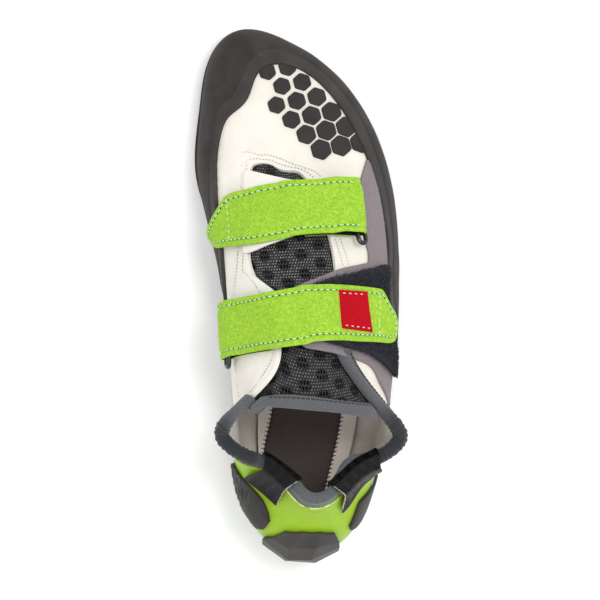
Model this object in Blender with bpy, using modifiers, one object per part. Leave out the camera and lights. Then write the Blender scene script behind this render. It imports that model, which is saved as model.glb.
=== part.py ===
"""A climbing shoe for the right foot with two hook-and-loop straps, as a set of separate solids.

Metres, +Z up, +Y towards the toe, +X towards the outer (lateral) side. The shoe stands on its
sole at z = 0. Every piece of the upper is a layer on one surface, the skin, which runs from the
sole's edge up to the topline.
"""

import math

import bmesh
import bpy
import numpy as np

# Driving sizes of the last
LENGTH = 0.256
BALL_WIDTH = 0.095
INSTEP_HEIGHT = 0.080
COLLAR_HEIGHT = 0.066
ARCH_LIFT = 0.008
TOE_SPRING = 0.002
SIDE_HEIGHT = 0.026

# Walls and clearances
GAP = 0.0003
UPPER_WALL = 0.0020
RAND_WALL = 0.0018
OUTSOLE_THICKNESS = 0.0042
OUTSOLE_MARGIN = 0.0036
OUTSOLE_BEVEL = 0.0010
INSOLE_THICKNESS = 0.0030
TONGUE_WALL = 0.0028
CUP_WALL = 0.0018
INSET_WALL = 0.0012
FLAP_WALL = 0.0012
FLAP_CLEARANCE = 0.0002
LOOP_PATCH_WALL = 0.0012
BINDING_WALL = 0.0012
BINDING_EASE = 0.0003  # further room for the binding inside the upper
TOE_PATCH_WALL = 0.0010
HEEL_PAD_WALL = 0.0032
CUP_CLEARANCE = 0.0004  # further room over the cup, where it is most rounded
TONGUE_CLEARANCE = 0.0004

# Straps and their rings
STRAP_WALL = 0.0016
RING_WIRE = 0.0022
RING_PLAY = 0.0004
RING_PITCH = 0.0045
RING_OVERHANG = 0.0040
FOLD_EASE = 0.0090
LABEL_WALL = 0.0006
PULL_LOOP_WALL = 0.0012
PULL_LOOP_RISE = 0.0075
PULL_LOOP_SWELL = 0.0020
PULL_LOOP_CLEARANCE = 0.0002

# The full line: where the upper is widest, seen from above. Turn 0 is the back of the heel, and it
# grows along the outer side to the toe near 0.5 and back along the inner side. Across is a share of
# BALL_WIDTH, along of LENGTH.
OUTLINE = [
    # turn, across, along
    (0.000, 0.010, -0.4720),
    (0.044, 0.235, -0.433),
    (0.083, 0.332, -0.351),
    (0.130, 0.410, -0.242),
    (0.180, 0.450, -0.121),
    (0.235, 0.475, 0.016),
    (0.300, 0.467, 0.172),
    (0.340, 0.416, 0.264),
    (0.380, 0.312, 0.352),
    (0.420, 0.153, 0.426),
    (0.460, -0.058, 0.478),
    (0.500, -0.292, 0.4985),
    (0.520, -0.379, 0.480),
    (0.540, -0.432, 0.445),
    (0.580, -0.469, 0.363),
    (0.634, -0.489, 0.246),
    (0.680, -0.444, 0.150),
    (0.730, -0.382, 0.043),
    (0.790, -0.354, -0.086),
    (0.850, -0.335, -0.219),
    (0.900, -0.303, -0.328),
    (0.950, -0.216, -0.420),
]

# The topline: the upper's free edge round the throat and the collar. Across and along as above. Its height is
# a share of INSTEP_HEIGHT plus a share of COLLAR_HEIGHT.
TOPLINE = [
    # turn, across, along, instep, collar
    (0.000, 0.053, -0.3785, 0.00, 1.00),
    (0.040, 0.164, -0.355, 0.00, 0.97),
    (0.075, 0.247, -0.309, 0.00, 0.895),
    (0.100, 0.379, -0.301, 0.00, 0.855),
    (0.122, 0.489, -0.266, 0.00, 0.85),
    (0.146, 0.400, -0.215, 0.40, 0.48),
    (0.167, 0.237, -0.148, 0.96, 0.00),
    (0.207, 0.154, -0.055, 0.95, 0.00),
    (0.250, 0.152, 0.055, 0.80, 0.00),
    (0.290, 0.095, 0.146, 0.69, 0.00),
    (0.325, 0.020, 0.211, 0.62, 0.00),
    (0.370, -0.058, 0.2275, 0.61, 0.00),
    (0.500, -0.158, 0.239, 0.58, 0.00),
    (0.600, -0.237, 0.2405, 0.545, 0.00),
    (0.637, -0.262, 0.224, 0.55, 0.00),
    (0.660, -0.266, 0.188, 0.59, 0.00),
    (0.692, -0.268, 0.120, 0.67, 0.00),
    (0.728, -0.268, 0.045, 0.755, 0.00),
    (0.752, -0.210, -0.004, 0.86, 0.00),
    (0.788, -0.142, -0.082, 1.00, 0.00),
    (0.824, -0.190, -0.162, 1.02, 0.00),
    (0.845, -0.325, -0.209, 0.50, 0.42),
    (0.867, -0.414, -0.257, 0.00, 0.85),
    (0.893, -0.290, -0.300, 0.00, 0.855),
    (0.925, -0.145, -0.316, 0.00, 0.91),
    (0.965, -0.030, -0.362, 0.00, 0.985),
]

# How the wall runs between the sole's edge, the full line and the topline. Full is the full line's
# height over the sole as a share of SIDE_HEIGHT, and tuck how far the sole's edge lies inside it as a
# share of BALL_WIDTH. Swell, reach and fall shape the wall above the full line: how long it stays
# upright, and how it meets the topline.
FLANK = [
    # turn, full, tuck, swell, reach, fall
    (0.000, 0.75, 0.085, 0.38, 0.15, 0.42),
    (0.060, 0.85, 0.090, 0.42, 0.20, 0.40),
    (0.122, 0.90, 0.095, 0.40, 0.50, 0.30),
    (0.180, 0.80, 0.095, 0.48, 0.45, 0.22),
    (0.240, 0.45, 0.030, 0.50, 0.48, 0.22),
    (0.320, 0.30, 0.006, 0.50, 0.50, 0.22),
    (0.420, 0.28, 0.005, 0.46, 0.52, 0.34),
    (0.500, 0.28, 0.005, 0.44, 0.52, 0.36),
    (0.580, 0.30, 0.005, 0.48, 0.52, 0.30),
    (0.650, 0.34, 0.012, 0.52, 0.50, 0.22),
    (0.720, 0.70, 0.085, 0.48, 0.48, 0.24),
    (0.800, 1.00, 0.135, 0.46, 0.45, 0.24),
    (0.867, 0.95, 0.100, 0.42, 0.50, 0.30),
    (0.940, 0.85, 0.090, 0.42, 0.20, 0.40),
]

# The middle of the shoe's plan in the tables' shares, which comes to lie at the origin
MIDDLE = np.array([-0.004, 0.0105])

FULL_CLIMB = 0.22  # the climb at which the wall passes its full line
COLUMNS = 84
CLIMBS = np.array([0.0, 0.11, FULL_CLIMB, 0.35, 0.48, 0.61, 0.74, 0.85, 0.94, 1.0])
PLATE_END = 0.0003  # how far from its tips a flat layer's first and last sections lie
PLATE_STATIONS = 32
TUCK_NARROWING, TUCK_CLIMB = 0.03, 0.10  # the tongue's tuck under the vamp, in turn and climb
TONGUE_SIDES = (-0.15, 1.15)
TONGUE_TRIM = (0.18, 0.94)  # where the binding on its rear edge starts and ends, in cross
TONGUE_REAR = 0.985
THROAT_FRONT = (0.325, 0.641)  # outer and inner turn of the throat's front
THROAT_BACK = (0.146, 0.845)  # outer and inner turn of the throat's back
HALF_STEP = 1e-4

# Where the sole's underside leaves the floor, as shares of LENGTH
ARCH_BACK, ARCH_FRONT, TOE_FLAT_END = -0.30, 0.15, 0.40


class Loop:
    """A smooth closed curve through the rows of a table: a periodic cubic spline, read at any turn."""

    def __init__(self, rows):
        rows = np.array(rows, float)
        self.knots, self.values = rows[:, 0], rows[:, 1:]
        count = len(rows)
        self.step = np.diff(np.append(self.knots, self.knots[0] + 1))
        before = np.roll(self.step, 1)
        rise = (np.roll(self.values, -1, 0) - self.values) / self.step[:, None]
        row = np.arange(count)
        system = np.zeros((count, count))
        system[row, row] = 2 * (before + self.step)
        system[row, row - 1] = self.step
        system[row, (row + 1) % count] = before
        wanted = 3 * (self.step[:, None] * np.roll(rise, 1, 0) + before[:, None] * rise)
        self.slopes = np.linalg.solve(system, wanted)

    def __call__(self, turn):
        turn = np.mod(turn, 1.0)
        low = np.searchsorted(self.knots, turn, side="right") - 1
        high = (low + 1) % len(self.knots)
        step = self.step[low][..., None]
        t = (turn - self.knots[low])[..., None] / step
        a, b = self.values[low], self.values[high]
        slope_a, slope_b = self.slopes[low] * step, self.slopes[high] * step
        return (
            a * (1 + 2 * t) * (1 - t) ** 2
            + slope_a * t * (1 - t) ** 2
            + b * t * t * (3 - 2 * t)
            + slope_b * t * t * (t - 1)
        )


outline_at, topline_at, flank_at = Loop(OUTLINE), Loop(TOPLINE), Loop(FLANK)


def bezier(points, t):
    """A cubic from the first of four points to the last, pulled by the middle two."""
    a, b, c, d = points
    t = t[..., None]
    return a * (1 - t) ** 3 + 3 * b * t * (1 - t) ** 2 + 3 * c * t * t * (1 - t) + d * t**3


def rocker(y):
    """Height of the sole's underside: flat at heel and forefoot, lifted at the arch and the toe tip."""
    span = (ARCH_FRONT - ARCH_BACK) * LENGTH
    along_arch = np.clip((y - ARCH_BACK * LENGTH) / span, 0, 1)
    past_flat = np.clip((y / LENGTH - TOE_FLAT_END) / (0.5 - TOE_FLAT_END), 0, None)
    return ARCH_LIFT * (1 - np.cos(2 * math.pi * along_arch)) / 2 + TOE_SPRING * past_flat**2


def seat(y):
    """Height at which the upper and the insole stand on the outsole."""
    return rocker(y) + OUTSOLE_THICKNESS + GAP


def unit(vectors):
    return vectors / np.linalg.norm(vectors, axis=-1, keepdims=True)


def plan_of(turn):
    return (outline_at(turn) - MIDDLE) * np.array([BALL_WIDTH, LENGTH])


def outward_of(turn):
    """Unit vector in plan, square to the full line and away from the shoe."""
    along = plan_of(turn + HALF_STEP) - plan_of(turn - HALF_STEP)
    return unit(np.stack([along[..., 1], -along[..., 0]], -1))


def foot_of(turn, margin=0.0):
    """Point on the sole's seat below the wall, moved outwards in plan by margin."""
    inset = flank_at(turn)[..., 1] * BALL_WIDTH
    plan = plan_of(turn) - outward_of(turn) * (inset - margin)[..., None]
    return np.concatenate([plan, seat(plan[..., 1])[..., None]], -1)


def top_of(turn):
    row = topline_at(turn)
    plan = (row[..., :2] - MIDDLE) * np.array([BALL_WIDTH, LENGTH])
    height = row[..., 2] * INSTEP_HEIGHT + row[..., 3] * COLLAR_HEIGHT
    return np.concatenate([plan, height[..., None]], -1)


def wall_points(turn):
    """The four points that pull the wall's curve from the full line to the topline."""
    full, _, swell, reach, fall = np.moveaxis(flank_at(turn), -1, 0)
    plan = plan_of(turn)
    base = np.concatenate([plan, (seat(plan[..., 1]) + full * SIDE_HEIGHT)[..., None]], -1)
    top = top_of(turn)
    drop = top[..., 2] - base[..., 2]
    upright = base.copy()
    upright[..., 2] += swell * drop
    lean = top + (base - top) * reach[..., None]
    lean[..., 2] = top[..., 2] - fall * drop
    return base, upright, lean, top


def bare_skin(turn, climb):
    """The upper's outer face: climb 0 at the sole's seat, FULL_CLIMB at the full line, 1 at the topline."""
    turn, climb = np.broadcast_arrays(np.asarray(turn, float), np.asarray(climb, float))
    walls = wall_points(turn)
    foot, base = foot_of(turn), walls[0]
    rise = base - foot
    flare = foot + rise * np.array([0.45, 0.45, 0.20])
    knee = base - rise * np.array([0, 0, 0.55])
    low = bezier((foot, flare, knee, base), np.clip(climb / FULL_CLIMB, 0, 1))
    high = bezier(walls, np.clip((climb - FULL_CLIMB) / (1 - FULL_CLIMB), 0, 1))
    return np.where((climb < FULL_CLIMB)[..., None], low, high)


def skin(turn, climb, lift=0.0):
    """A point on the skin, moved out of it by lift. Below the full line it moves level."""
    turn, climb = np.broadcast_arrays(np.asarray(turn, float), np.asarray(climb, float))
    low, high = np.clip(climb - HALF_STEP, 0, 1), np.clip(climb + HALF_STEP, 0, 1)
    along = bare_skin(turn + HALF_STEP, climb) - bare_skin(turn - HALF_STEP, climb)
    normal = unit(np.cross(along, bare_skin(turn, high) - bare_skin(turn, low)))
    level = np.clip(climb / FULL_CLIMB, 0, 1)
    normal[..., 2] *= level * level * (3 - 2 * level)
    return bare_skin(turn, climb) + unit(normal) * np.asarray(lift)[..., None]


def throat_turns(back):
    """Outer and inner turn beside the throat, from 0 at its front to 1 at its back."""
    return [front + (rear - front) * back for front, rear in zip(THROAT_FRONT, THROAT_BACK)]


def bare_over(back, cross):
    """The instep from side to side: cross -1 to 0 climbs inside, 0 to 1 spans the throat, 1 to 2 descends."""
    outer, inner = throat_turns(back)
    walls_in, walls_out = wall_points(inner), wall_points(outer)
    start, end = walls_in[3], walls_out[3]
    pull = 0.36 * np.linalg.norm(end - start, axis=-1, keepdims=True)
    span = (
        start,
        start + unit(start - walls_in[2]) * pull,
        end + unit(end - walls_out[2]) * pull,
        end,
    )
    middle = bezier(span, np.clip(cross, 0, 1))
    inside = bare_skin(inner, np.clip(1 + cross, 0, 1))
    outside = bare_skin(outer, np.clip(2 - cross, 0, 1))
    middle = np.where((cross > 1)[..., None], outside, middle)
    return np.where((cross < 0)[..., None], inside, middle)


def on_facets(turn, climb, lift=0.0):
    """A point on the facets of the upper's grid, so that a layer keeps its gap to the layer below it."""
    turn, climb = np.broadcast_arrays(np.asarray(turn, float), np.asarray(climb, float))
    column = np.floor(turn * COLUMNS + 1e-9)
    aside = (turn * COLUMNS - column)[..., None]
    row = np.clip(np.searchsorted(CLIMBS, climb + 1e-9, side="right") - 1, 0, len(CLIMBS) - 2)
    up = ((climb - CLIMBS[row]) / (CLIMBS[row + 1] - CLIMBS[row]))[..., None]
    lift = np.broadcast_to(lift, turn.shape)
    low, high = [
        skin(column / COLUMNS, CLIMBS[row + above], lift) * (1 - aside)
        + skin((column + 1) / COLUMNS, CLIMBS[row + above], lift) * aside
        for above in (0, 1)
    ]
    return low * (1 - up) + high * up


def over(back, cross, lift=0.0):
    """A point over the instep, moved out by lift. Beside the throat it follows the upper's facets."""
    back, cross = np.broadcast_arrays(np.asarray(back, float), np.asarray(cross, float))
    lift = np.broadcast_to(lift, back.shape)
    step = 0.004
    along = bare_over(back - step, cross) - bare_over(back + step, cross)
    across = bare_over(back, cross + step) - bare_over(back, cross - step)
    middle = bare_over(back, cross) + unit(np.cross(across, along)) * lift[..., None]
    outer, inner = throat_turns(back)
    inside = on_facets(inner, np.clip(1 + cross, 0, 1), lift)
    outside = on_facets(outer, np.clip(2 - cross, 0, 1), lift)
    middle = np.where((cross >= 1)[..., None], outside, middle)
    return np.where((cross <= 0)[..., None], inside, middle)


# Where each piece lies on the form. A piece of the wall is given by turn and climb. A piece over the
# instep is given by back, from 0 at the throat's front to 1 at its back, and cross, from -1 at the
# inner sole's edge to 0 and 1 at the two sides of the throat and 2 at the outer sole's edge.
RAND_EDGE = [
    # turn, top
    (0.000, 0.12),
    (0.060, 0.12),
    (0.120, 0.13),
    (0.165, 0.20),
    (0.200, 0.34),
    (0.222, 0.49),
    (0.255, 0.51),
    (0.305, 0.515),
    (0.350, 0.525),
    (0.385, 0.515),
    (0.420, 0.50),
    (0.447, 0.50),
    (0.474, 0.555),
    (0.492, 0.63),
    (0.505, 0.70),
    (0.520, 0.735),
    (0.538, 0.73),
    (0.558, 0.695),
    (0.578, 0.65),
    (0.600, 0.625),
    (0.632, 0.615),
    (0.656, 0.59),
    (0.676, 0.545),
    (0.705, 0.50),
    (0.725, 0.38),
    (0.745, 0.25),
    (0.780, 0.17),
    (0.830, 0.15),
    (0.900, 0.13),
    (0.950, 0.12),
]
TOE_PATCH = [
    # turn, lower climb, upper climb
    (0.356, 0.56, 0.66),
    (0.372, 0.555, 0.81),
    (0.400, 0.545, 0.85),
    (0.445, 0.54, 0.865),
    (0.468, 0.60, 0.83),
    (0.479, 0.65, 0.74),
]
HEEL_CUP = [
    # turn, lower climb, upper climb
    (-0.113, 0.20, 0.86),
    (-0.106, 0.16, 0.915),
    (0.000, 0.145, 0.915),
    (0.106, 0.16, 0.915),
    (0.113, 0.20, 0.86),
]
HEEL_INSET_MEDIAL = [
    # turn, lower climb, upper climb
    (-0.110, 0.24, 0.40),
    (-0.098, 0.22, 0.54),
    (-0.074, 0.27, 0.60),
    (-0.060, 0.32, 0.61),
    (-0.048, 0.34, 0.58),
    (-0.041, 0.42, 0.53),
]
HEEL_INSET_LATERAL = [
    # turn, lower climb, upper climb
    (0.043, 0.40, 0.46),
    (0.050, 0.33, 0.50),
    (0.060, 0.28, 0.54),
    (0.075, 0.24, 0.48),
    (0.095, 0.22, 0.45),
    (0.110, 0.24, 0.36),
]
HEEL_PAD = [
    # turn, climb, raise for each point of a facet row, from the inner side to the outer
    [(-0.034, 0.22, 0.60), (-0.012, 0.22, 0.95), (0.010, 0.22, 0.95), (0.032, 0.22, 0.60)],
    [(-0.037, 0.33, 0.50), (-0.011, 0.32, 1.10), (0.006, 0.36, 1.10), (0.035, 0.33, 0.50)],
    [(-0.031, 0.43, 0.45), (-0.014, 0.46, 0.90), (0.009, 0.50, 0.95), (0.036, 0.42, 0.45)],
    [(-0.024, 0.56, 0.40), (-0.006, 0.63, 0.45), (0.012, 0.62, 0.45), (0.032, 0.52, 0.40)],
]
MEDIAL_FLAP = [
    # cross, front back, rear back
    (-0.11, 0.03, 0.345),
    (-0.06, 0.005, 0.365),
    (0.00, 0.002, 0.365),
    (0.30, 0.008, 0.335),
    (0.52, 0.015, 0.31),
    (0.80, 0.030, 0.28),
]
LATERAL_FLAP = [
    # inner edge's back and cross, outer edge's back and cross
    (-0.080, 1.395, -0.080, 1.430),
    (-0.040, 1.360, -0.040, 1.455),
    (0.024, 1.325, 0.024, 1.460),
    (0.110, 1.300, 0.110, 1.460),
    (0.200, 1.285, 0.200, 1.462),
    (0.310, 1.270, 0.310, 1.465),
    (0.370, 1.285, 0.370, 1.470),
    (0.410, 1.285, 0.410, 1.470),
    (0.426, 1.200, 0.426, 1.470),
    (0.440, 1.100, 0.442, 1.470),
    (0.460, 0.970, 0.464, 1.470),
    (0.485, 0.790, 0.492, 1.470),
    (0.510, 0.600, 0.520, 1.470),
    (0.535, 0.440, 0.548, 1.472),
    (0.600, 0.340, 0.604, 1.475),
    (0.680, 0.320, 0.680, 1.580),
    (0.745, 0.340, 0.740, 1.640),
    (0.783, 0.440, 0.780, 1.680),
    (0.800, 0.600, 0.805, 1.690),
    (0.814, 0.790, 0.825, 1.690),
    (0.828, 0.970, 0.840, 1.690),
    (0.838, 1.120, 0.855, 1.690),
    (0.854, 1.260, 0.870, 1.690),
    (0.876, 1.440, 0.885, 1.680),
]
LOOP_PATCH = [
    # inner edge's back and cross, outer edge's back and cross
    (0.428, 1.410, 0.428, 1.450),
    (0.455, 1.270, 0.450, 1.455),
    (0.470, 1.160, 0.470, 1.455),
    (0.492, 0.980, 0.495, 1.455),
    (0.510, 0.830, 0.520, 1.455),
    (0.530, 0.680, 0.550, 1.457),
    (0.590, 0.600, 0.600, 1.460),
    (0.680, 0.590, 0.680, 1.540),
    (0.735, 0.600, 0.730, 1.600),
    (0.765, 0.680, 0.765, 1.630),
    (0.780, 0.830, 0.785, 1.650),
    (0.793, 0.980, 0.800, 1.660),
    (0.805, 1.180, 0.815, 1.660),
    (0.818, 1.300, 0.822, 1.650),
]
STRAP_FRONT = [
    # cross, front edge, rear edge, layers under the strap
    (-0.800, 0.245, 0.265, 1.6),
    (-0.720, 0.222, 0.305, 1.6),
    (-0.600, 0.190, 0.333, 1.6),
    (-0.380, 0.135, 0.334, 1.5),
    (-0.240, 0.113, 0.335, 1.1),
    (0.050, 0.090, 0.335, 1.1),
    (0.450, 0.060, 0.326, 1.2),
    (0.600, 0.052, 0.322, 2.4),
    (1.000, 0.042, 0.315, 2.4),
    (1.260, 0.042, 0.309, 2.4),
]
STRAP_REAR = [
    # cross, front edge, rear edge, layers under the strap
    (1.550, 0.665, 0.700, 2.3),
    (1.500, 0.622, 0.742, 2.3),
    (1.430, 0.585, 0.752, 2.3),
    (1.330, 0.532, 0.756, 2.3),
    (1.000, 0.528, 0.771, 2.3),
    (0.560, 0.535, 0.776, 2.3),
    (0.440, 0.540, 0.780, 1.2),
    (0.240, 0.549, 0.782, 1.2),
    (0.050, 0.553, 0.785, 1.4),
    (-0.500, 0.568, 0.800, 1.4),
    (-0.690, 0.578, 0.810, 1.4),
]
STRAP_RETURNS = {"front": 0.68, "rear": -0.06}  # cross where the layer that runs back under the strap ends
STRAP_LABEL = [
    # back, first cross, last cross
    (0.552, 0.925, 1.195),
    (0.722, 0.945, 1.245),
]
COLLAR_SPAN = (-0.134, 0.124)
QUARTER_SPAN = (0.131, 0.167)
BINDING_DEPTH = 0.93
PULL_LOOPS = {"pull_loop_medial": (-0.092, -0.045), "pull_loop_lateral": (0.036, 0.098)}

TURNS = np.arange(COLUMNS) / COLUMNS
AROUND = np.concatenate([TURNS - 1, TURNS])
THROAT_STEPS = np.array([0.06, 0.18, 0.31, 0.44, 0.56, 0.69, 0.82, 0.94])
CROSSES = np.concatenate([CLIMBS - 1, THROAT_STEPS, 2 - CLIMBS[::-1]])
OUTER_BACKS = np.sort((THROAT_FRONT[0] - TURNS) / (THROAT_FRONT[0] - THROAT_BACK[0]))
INNER_BACKS = np.sort((TURNS - THROAT_FRONT[1]) / (THROAT_BACK[1] - THROAT_FRONT[1]))

# End of the form


parts = bpy.data.collections.new("climbing_shoe")


def clear_scene():
    for thing in list(bpy.data.objects):
        bpy.data.objects.remove(thing, do_unlink=True)
    bpy.context.scene.collection.children.link(parts)


def material(name, colour, roughness, metallic=0.0):
    finish = bpy.data.materials.new(name)
    finish.use_nodes = True
    shader = finish.node_tree.nodes["Principled BSDF"]
    shader.inputs["Base Color"].default_value = (*colour, 1)
    shader.inputs["Roughness"].default_value = roughness
    shader.inputs["Metallic"].default_value = metallic
    return finish


def add(name, mesh, finish, smooth=40):
    mesh.materials.append(finish)
    if smooth:
        mesh.shade_smooth()
        mesh.set_sharp_from_angle(angle=math.radians(smooth))
    piece = bpy.data.objects.new(name, mesh)
    parts.objects.link(piece)
    return piece


def mesh_of(name, points, faces):
    """A mesh whose coincident points are merged and whose faces point outwards."""
    mesh = bpy.data.meshes.new(name)
    mesh.from_pydata(points.tolist(), [], faces.tolist())
    shape = bmesh.new()
    shape.from_mesh(mesh)
    bmesh.ops.remove_doubles(shape, verts=shape.verts, dist=1e-6)
    bmesh.ops.recalc_face_normals(shape, faces=shape.faces)
    shape.to_mesh(mesh)
    shape.free()
    return mesh


def grid_faces(rows, columns, ring=False, first=0):
    """Triangles between a grid's points, all cut the same way. A ring joins its last column to its first."""
    index = first + np.arange(rows * columns).reshape(rows, columns)
    right = np.roll(index, -1, 1) if ring else index[:, 1:]
    left = index if ring else index[:, :-1]
    a, b, c, d = left[:-1], right[:-1], right[1:], left[1:]
    return np.stack([a, b, c, a, c, d], -1).reshape(-1, 3)


def rim_faces(loop_a, loop_b):
    """Triangles between two closed loops of points."""
    ahead_a, ahead_b = np.roll(loop_a, -1), np.roll(loop_b, -1)
    return np.stack([loop_a, ahead_a, ahead_b, loop_a, ahead_b, loop_b], -1).reshape(-1, 3)


def slab(name, outer, inner, finish, ring=False, smooth=40):
    """A closed solid between two grids of points of the same size."""
    rows, columns = outer.shape[:2]
    count = rows * columns
    index = np.arange(count).reshape(rows, columns)
    faces = [grid_faces(rows, columns, ring), grid_faces(rows, columns, ring, count)[:, ::-1]]
    if ring:
        rims = [index[0], index[-1]]
    else:
        rims = [np.concatenate([index[0], index[1:, -1], index[-1, -2::-1], index[-2:0:-1, 0]])]
    faces += [rim_faces(edge, edge + count) for edge in rims]
    points = np.concatenate([outer.reshape(-1, 3), inner.reshape(-1, 3)])
    return add(name, mesh_of(name, points, np.concatenate(faces)), finish, smooth)


def sheet(name, surface, wall, finish, smooth=40):
    """An open surface of points thickened evenly to both sides."""
    rows, columns = surface.shape[:2]
    piece = add(name, mesh_of(name, surface.reshape(-1, 3), grid_faces(rows, columns)), finish, smooth)
    thicken = piece.modifiers.new("wall", "SOLIDIFY")
    thicken.thickness = wall
    thicken.offset = 0
    thicken.use_even_offset = True
    return piece


def samples(marks, first, last):
    """The marks between two values, with the two values themselves."""
    inside = marks[(marks > first + 1e-6) & (marks < last - 1e-6)]
    return np.concatenate([[first], inside, [last]])


def wall_panel(name, rows, low, wall, finish, smooth=40):
    """A layer of the wall between two climbs, given by a table along its turn."""
    rows = np.array(rows, float)
    ends = np.round(rows[[0, -1], 0] * COLUMNS) / COLUMNS
    turn = samples(AROUND, *ends)[:, None]
    first, last = [np.interp(turn, rows[:, 0], rows[:, column]) for column in (1, 2)]
    climb = np.concatenate([first, np.clip(CLIMBS[None, :], first, last), last], 1)
    outer, inner = on_facets(turn, climb, low + wall), on_facets(turn, climb, low)
    return slab(name, outer, inner, finish, smooth=smooth)


def instep_panel(name, rows, marks, low, wall, finish, swap=False):
    """A layer over the instep between two edges, given by a table along its cross, or its back if swapped."""
    rows = np.array(rows, float)
    steps = (marks, CROSSES) if swap else (CROSSES, marks)
    along = samples(steps[0], rows[0, 0], rows[-1, 0])[:, None]
    first, last = [np.interp(along, rows[:, 0], rows[:, column]) for column in (1, 2)]
    across = np.concatenate([first, np.clip(steps[1][None, :], first, last), last], 1)
    back, cross = (along, across) if swap else (across, along)
    return slab(name, over(back, cross, low + wall), over(back, cross, low), finish)


def side_flap(name, rows, low, wall, finish):
    """A layer over the instep whose table gives the two ends of each of its rows."""
    back_a, cross_a, back_b, cross_b = np.array(rows)[:, :, None].transpose(1, 0, 2)
    cross = np.concatenate([cross_a, np.clip(CROSSES[None, :], cross_a, cross_b), cross_b], 1)
    back = back_a + (back_b - back_a) * (cross - cross_a) / (cross_b - cross_a)
    return slab(name, over(back, cross, low + wall), over(back, cross, low), finish)


def make_upper(finish):
    outer = skin(TURNS[None, :], CLIMBS[:, None])
    inner = skin(TURNS[None, :], CLIMBS[:, None], -UPPER_WALL)
    return slab("upper", outer, inner, finish, ring=True)


def make_rand(finish):
    top = Loop(RAND_EDGE)(TURNS)[..., 0]
    climb = np.concatenate([np.minimum(CLIMBS[:-1, None], top[None, :]), top[None, :]])
    outer = on_facets(TURNS[None, :], climb, GAP + RAND_WALL)
    inner = on_facets(TURNS[None, :], climb, GAP)
    return slab("rand", outer, inner, finish, ring=True)


def cross_sections(margin, count):
    """Stations along the shoe and the plate's inner and outer x at each, from the foot line and a margin."""
    turn = np.linspace(0, 1, 721)[:-1]
    edge = foot_of(turn, margin)
    tip, heel = edge[:, 1].argmax(), edge[:, 1].argmin()
    edge = np.roll(edge, -heel, 0)
    tip = (tip - heel) % len(edge)
    outer = edge[: tip + 1]
    inner = np.concatenate([edge[tip:], edge[:1]])[::-1]
    start, end = edge[0, 1], edge[tip, 1]
    phase = np.linspace(0, math.pi, count + 2)[1:-1]
    y = start + (end - start) * (1 - np.cos(phase)) / 2
    y = samples(y, start + PLATE_END, end - PLATE_END)
    return y, np.interp(y, inner[:, 1], inner[:, 0]), np.interp(y, outer[:, 1], outer[:, 0])


def make_plate(name, margin, bottom, top, bevel, finish):
    """A flat layer that follows the rocker, as cross-sections from heel to toe, bevelled below."""
    y, left, right = cross_sections(margin, PLATE_STATIONS)
    cut = np.minimum(bevel, (right - left) / 3)
    floor, roof = bottom(y), top(y)
    chamfer = floor + np.minimum(cut, (roof - floor) / 2)
    section = [
        (left + cut, floor),
        (right - cut, floor),
        (right, chamfer),
        (right, roof),
        (left, roof),
        (left, chamfer),
    ]
    if not bevel:
        section = [section[0], section[1], section[3], section[4]]
    points = np.stack([np.stack([x, y, z], -1) for x, z in section], 1)
    rows, sides = points.shape[:2]
    corners = np.arange(rows * sides).reshape(rows, sides)
    ahead = np.roll(corners, -1, 1)
    faces = np.stack([corners[:-1], ahead[:-1], ahead[1:], corners[1:]], -1).reshape(-1, 4).tolist()
    faces += [list(range(sides)), list(range((rows - 1) * sides, rows * sides))]
    mesh = bpy.data.meshes.new(name)
    mesh.from_pydata(points.reshape(-1, 3).tolist(), [], faces)
    shape = bmesh.new()
    shape.from_mesh(mesh)
    bmesh.ops.recalc_face_normals(shape, faces=shape.faces)
    bmesh.ops.dissolve_limit(shape, angle_limit=1e-5, verts=shape.verts, edges=shape.edges)
    shape.to_mesh(mesh)
    shape.free()
    return add(name, mesh, finish)


def make_soles(rubber, footbed):
    under_foot = lambda y: rocker(y) + OUTSOLE_THICKNESS
    make_plate("outsole", OUTSOLE_MARGIN, rocker, under_foot, OUTSOLE_BEVEL, rubber)
    inside = -(UPPER_WALL + 2 * GAP)
    make_plate("insole", inside, seat, lambda y: seat(y) + INSOLE_THICKNESS, 0, footbed)


def front_rows(depth, cross, lift):
    """The tongue's tuck under the vamp: depth 0 is the throat's front edge, 1 the end of the tuck."""
    inner = THROAT_FRONT[1] - TUCK_NARROWING * depth
    outer = THROAT_FRONT[0] + TUCK_NARROWING * depth
    turn = inner + (outer - inner) * np.clip(cross, 0, 1)
    past = np.clip(-cross, 0, None) + np.clip(cross - 1, 0, None)
    return on_facets(turn, 1 - TUCK_CLIMB * depth - past, lift)


def make_tongue(finish):
    """The tongue lies under the throat's edges and the vamp, and its rear sinks to give its binding room."""
    cross = samples(CROSSES, *TONGUE_SIDES)[None, :]
    depth = np.array([1.0, 0.6, 0.25])[:, None]
    back = np.concatenate([np.linspace(0.06, 0.90, 14), [0.945, 0.965, TONGUE_REAR]])[:, None]
    sink = np.clip((back - 0.66) / 0.14, 0, 1) * (BINDING_WALL + BINDING_EASE + GAP)
    faces = []
    for low in (0, TONGUE_WALL):
        lift = -(UPPER_WALL + GAP + TONGUE_CLEARANCE + low)
        front = front_rows(depth, cross, np.full(1, lift))
        rear = over(back, cross, lift - sink)
        faces.append(np.concatenate([front, rear]))
    return slab("tongue", faces[0], faces[1], finish)


def rim(turn, climb, rise, lift):
    """A point beside the topline: on the facets below it, or straight on past it by rise."""
    edge, below = on_facets(turn, 1.0 + 0 * climb, lift), on_facets(turn, CLIMBS[-2] + 0 * climb, lift)
    return on_facets(turn, climb, lift) + unit(edge - below) * np.asarray(rise)[..., None]


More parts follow.
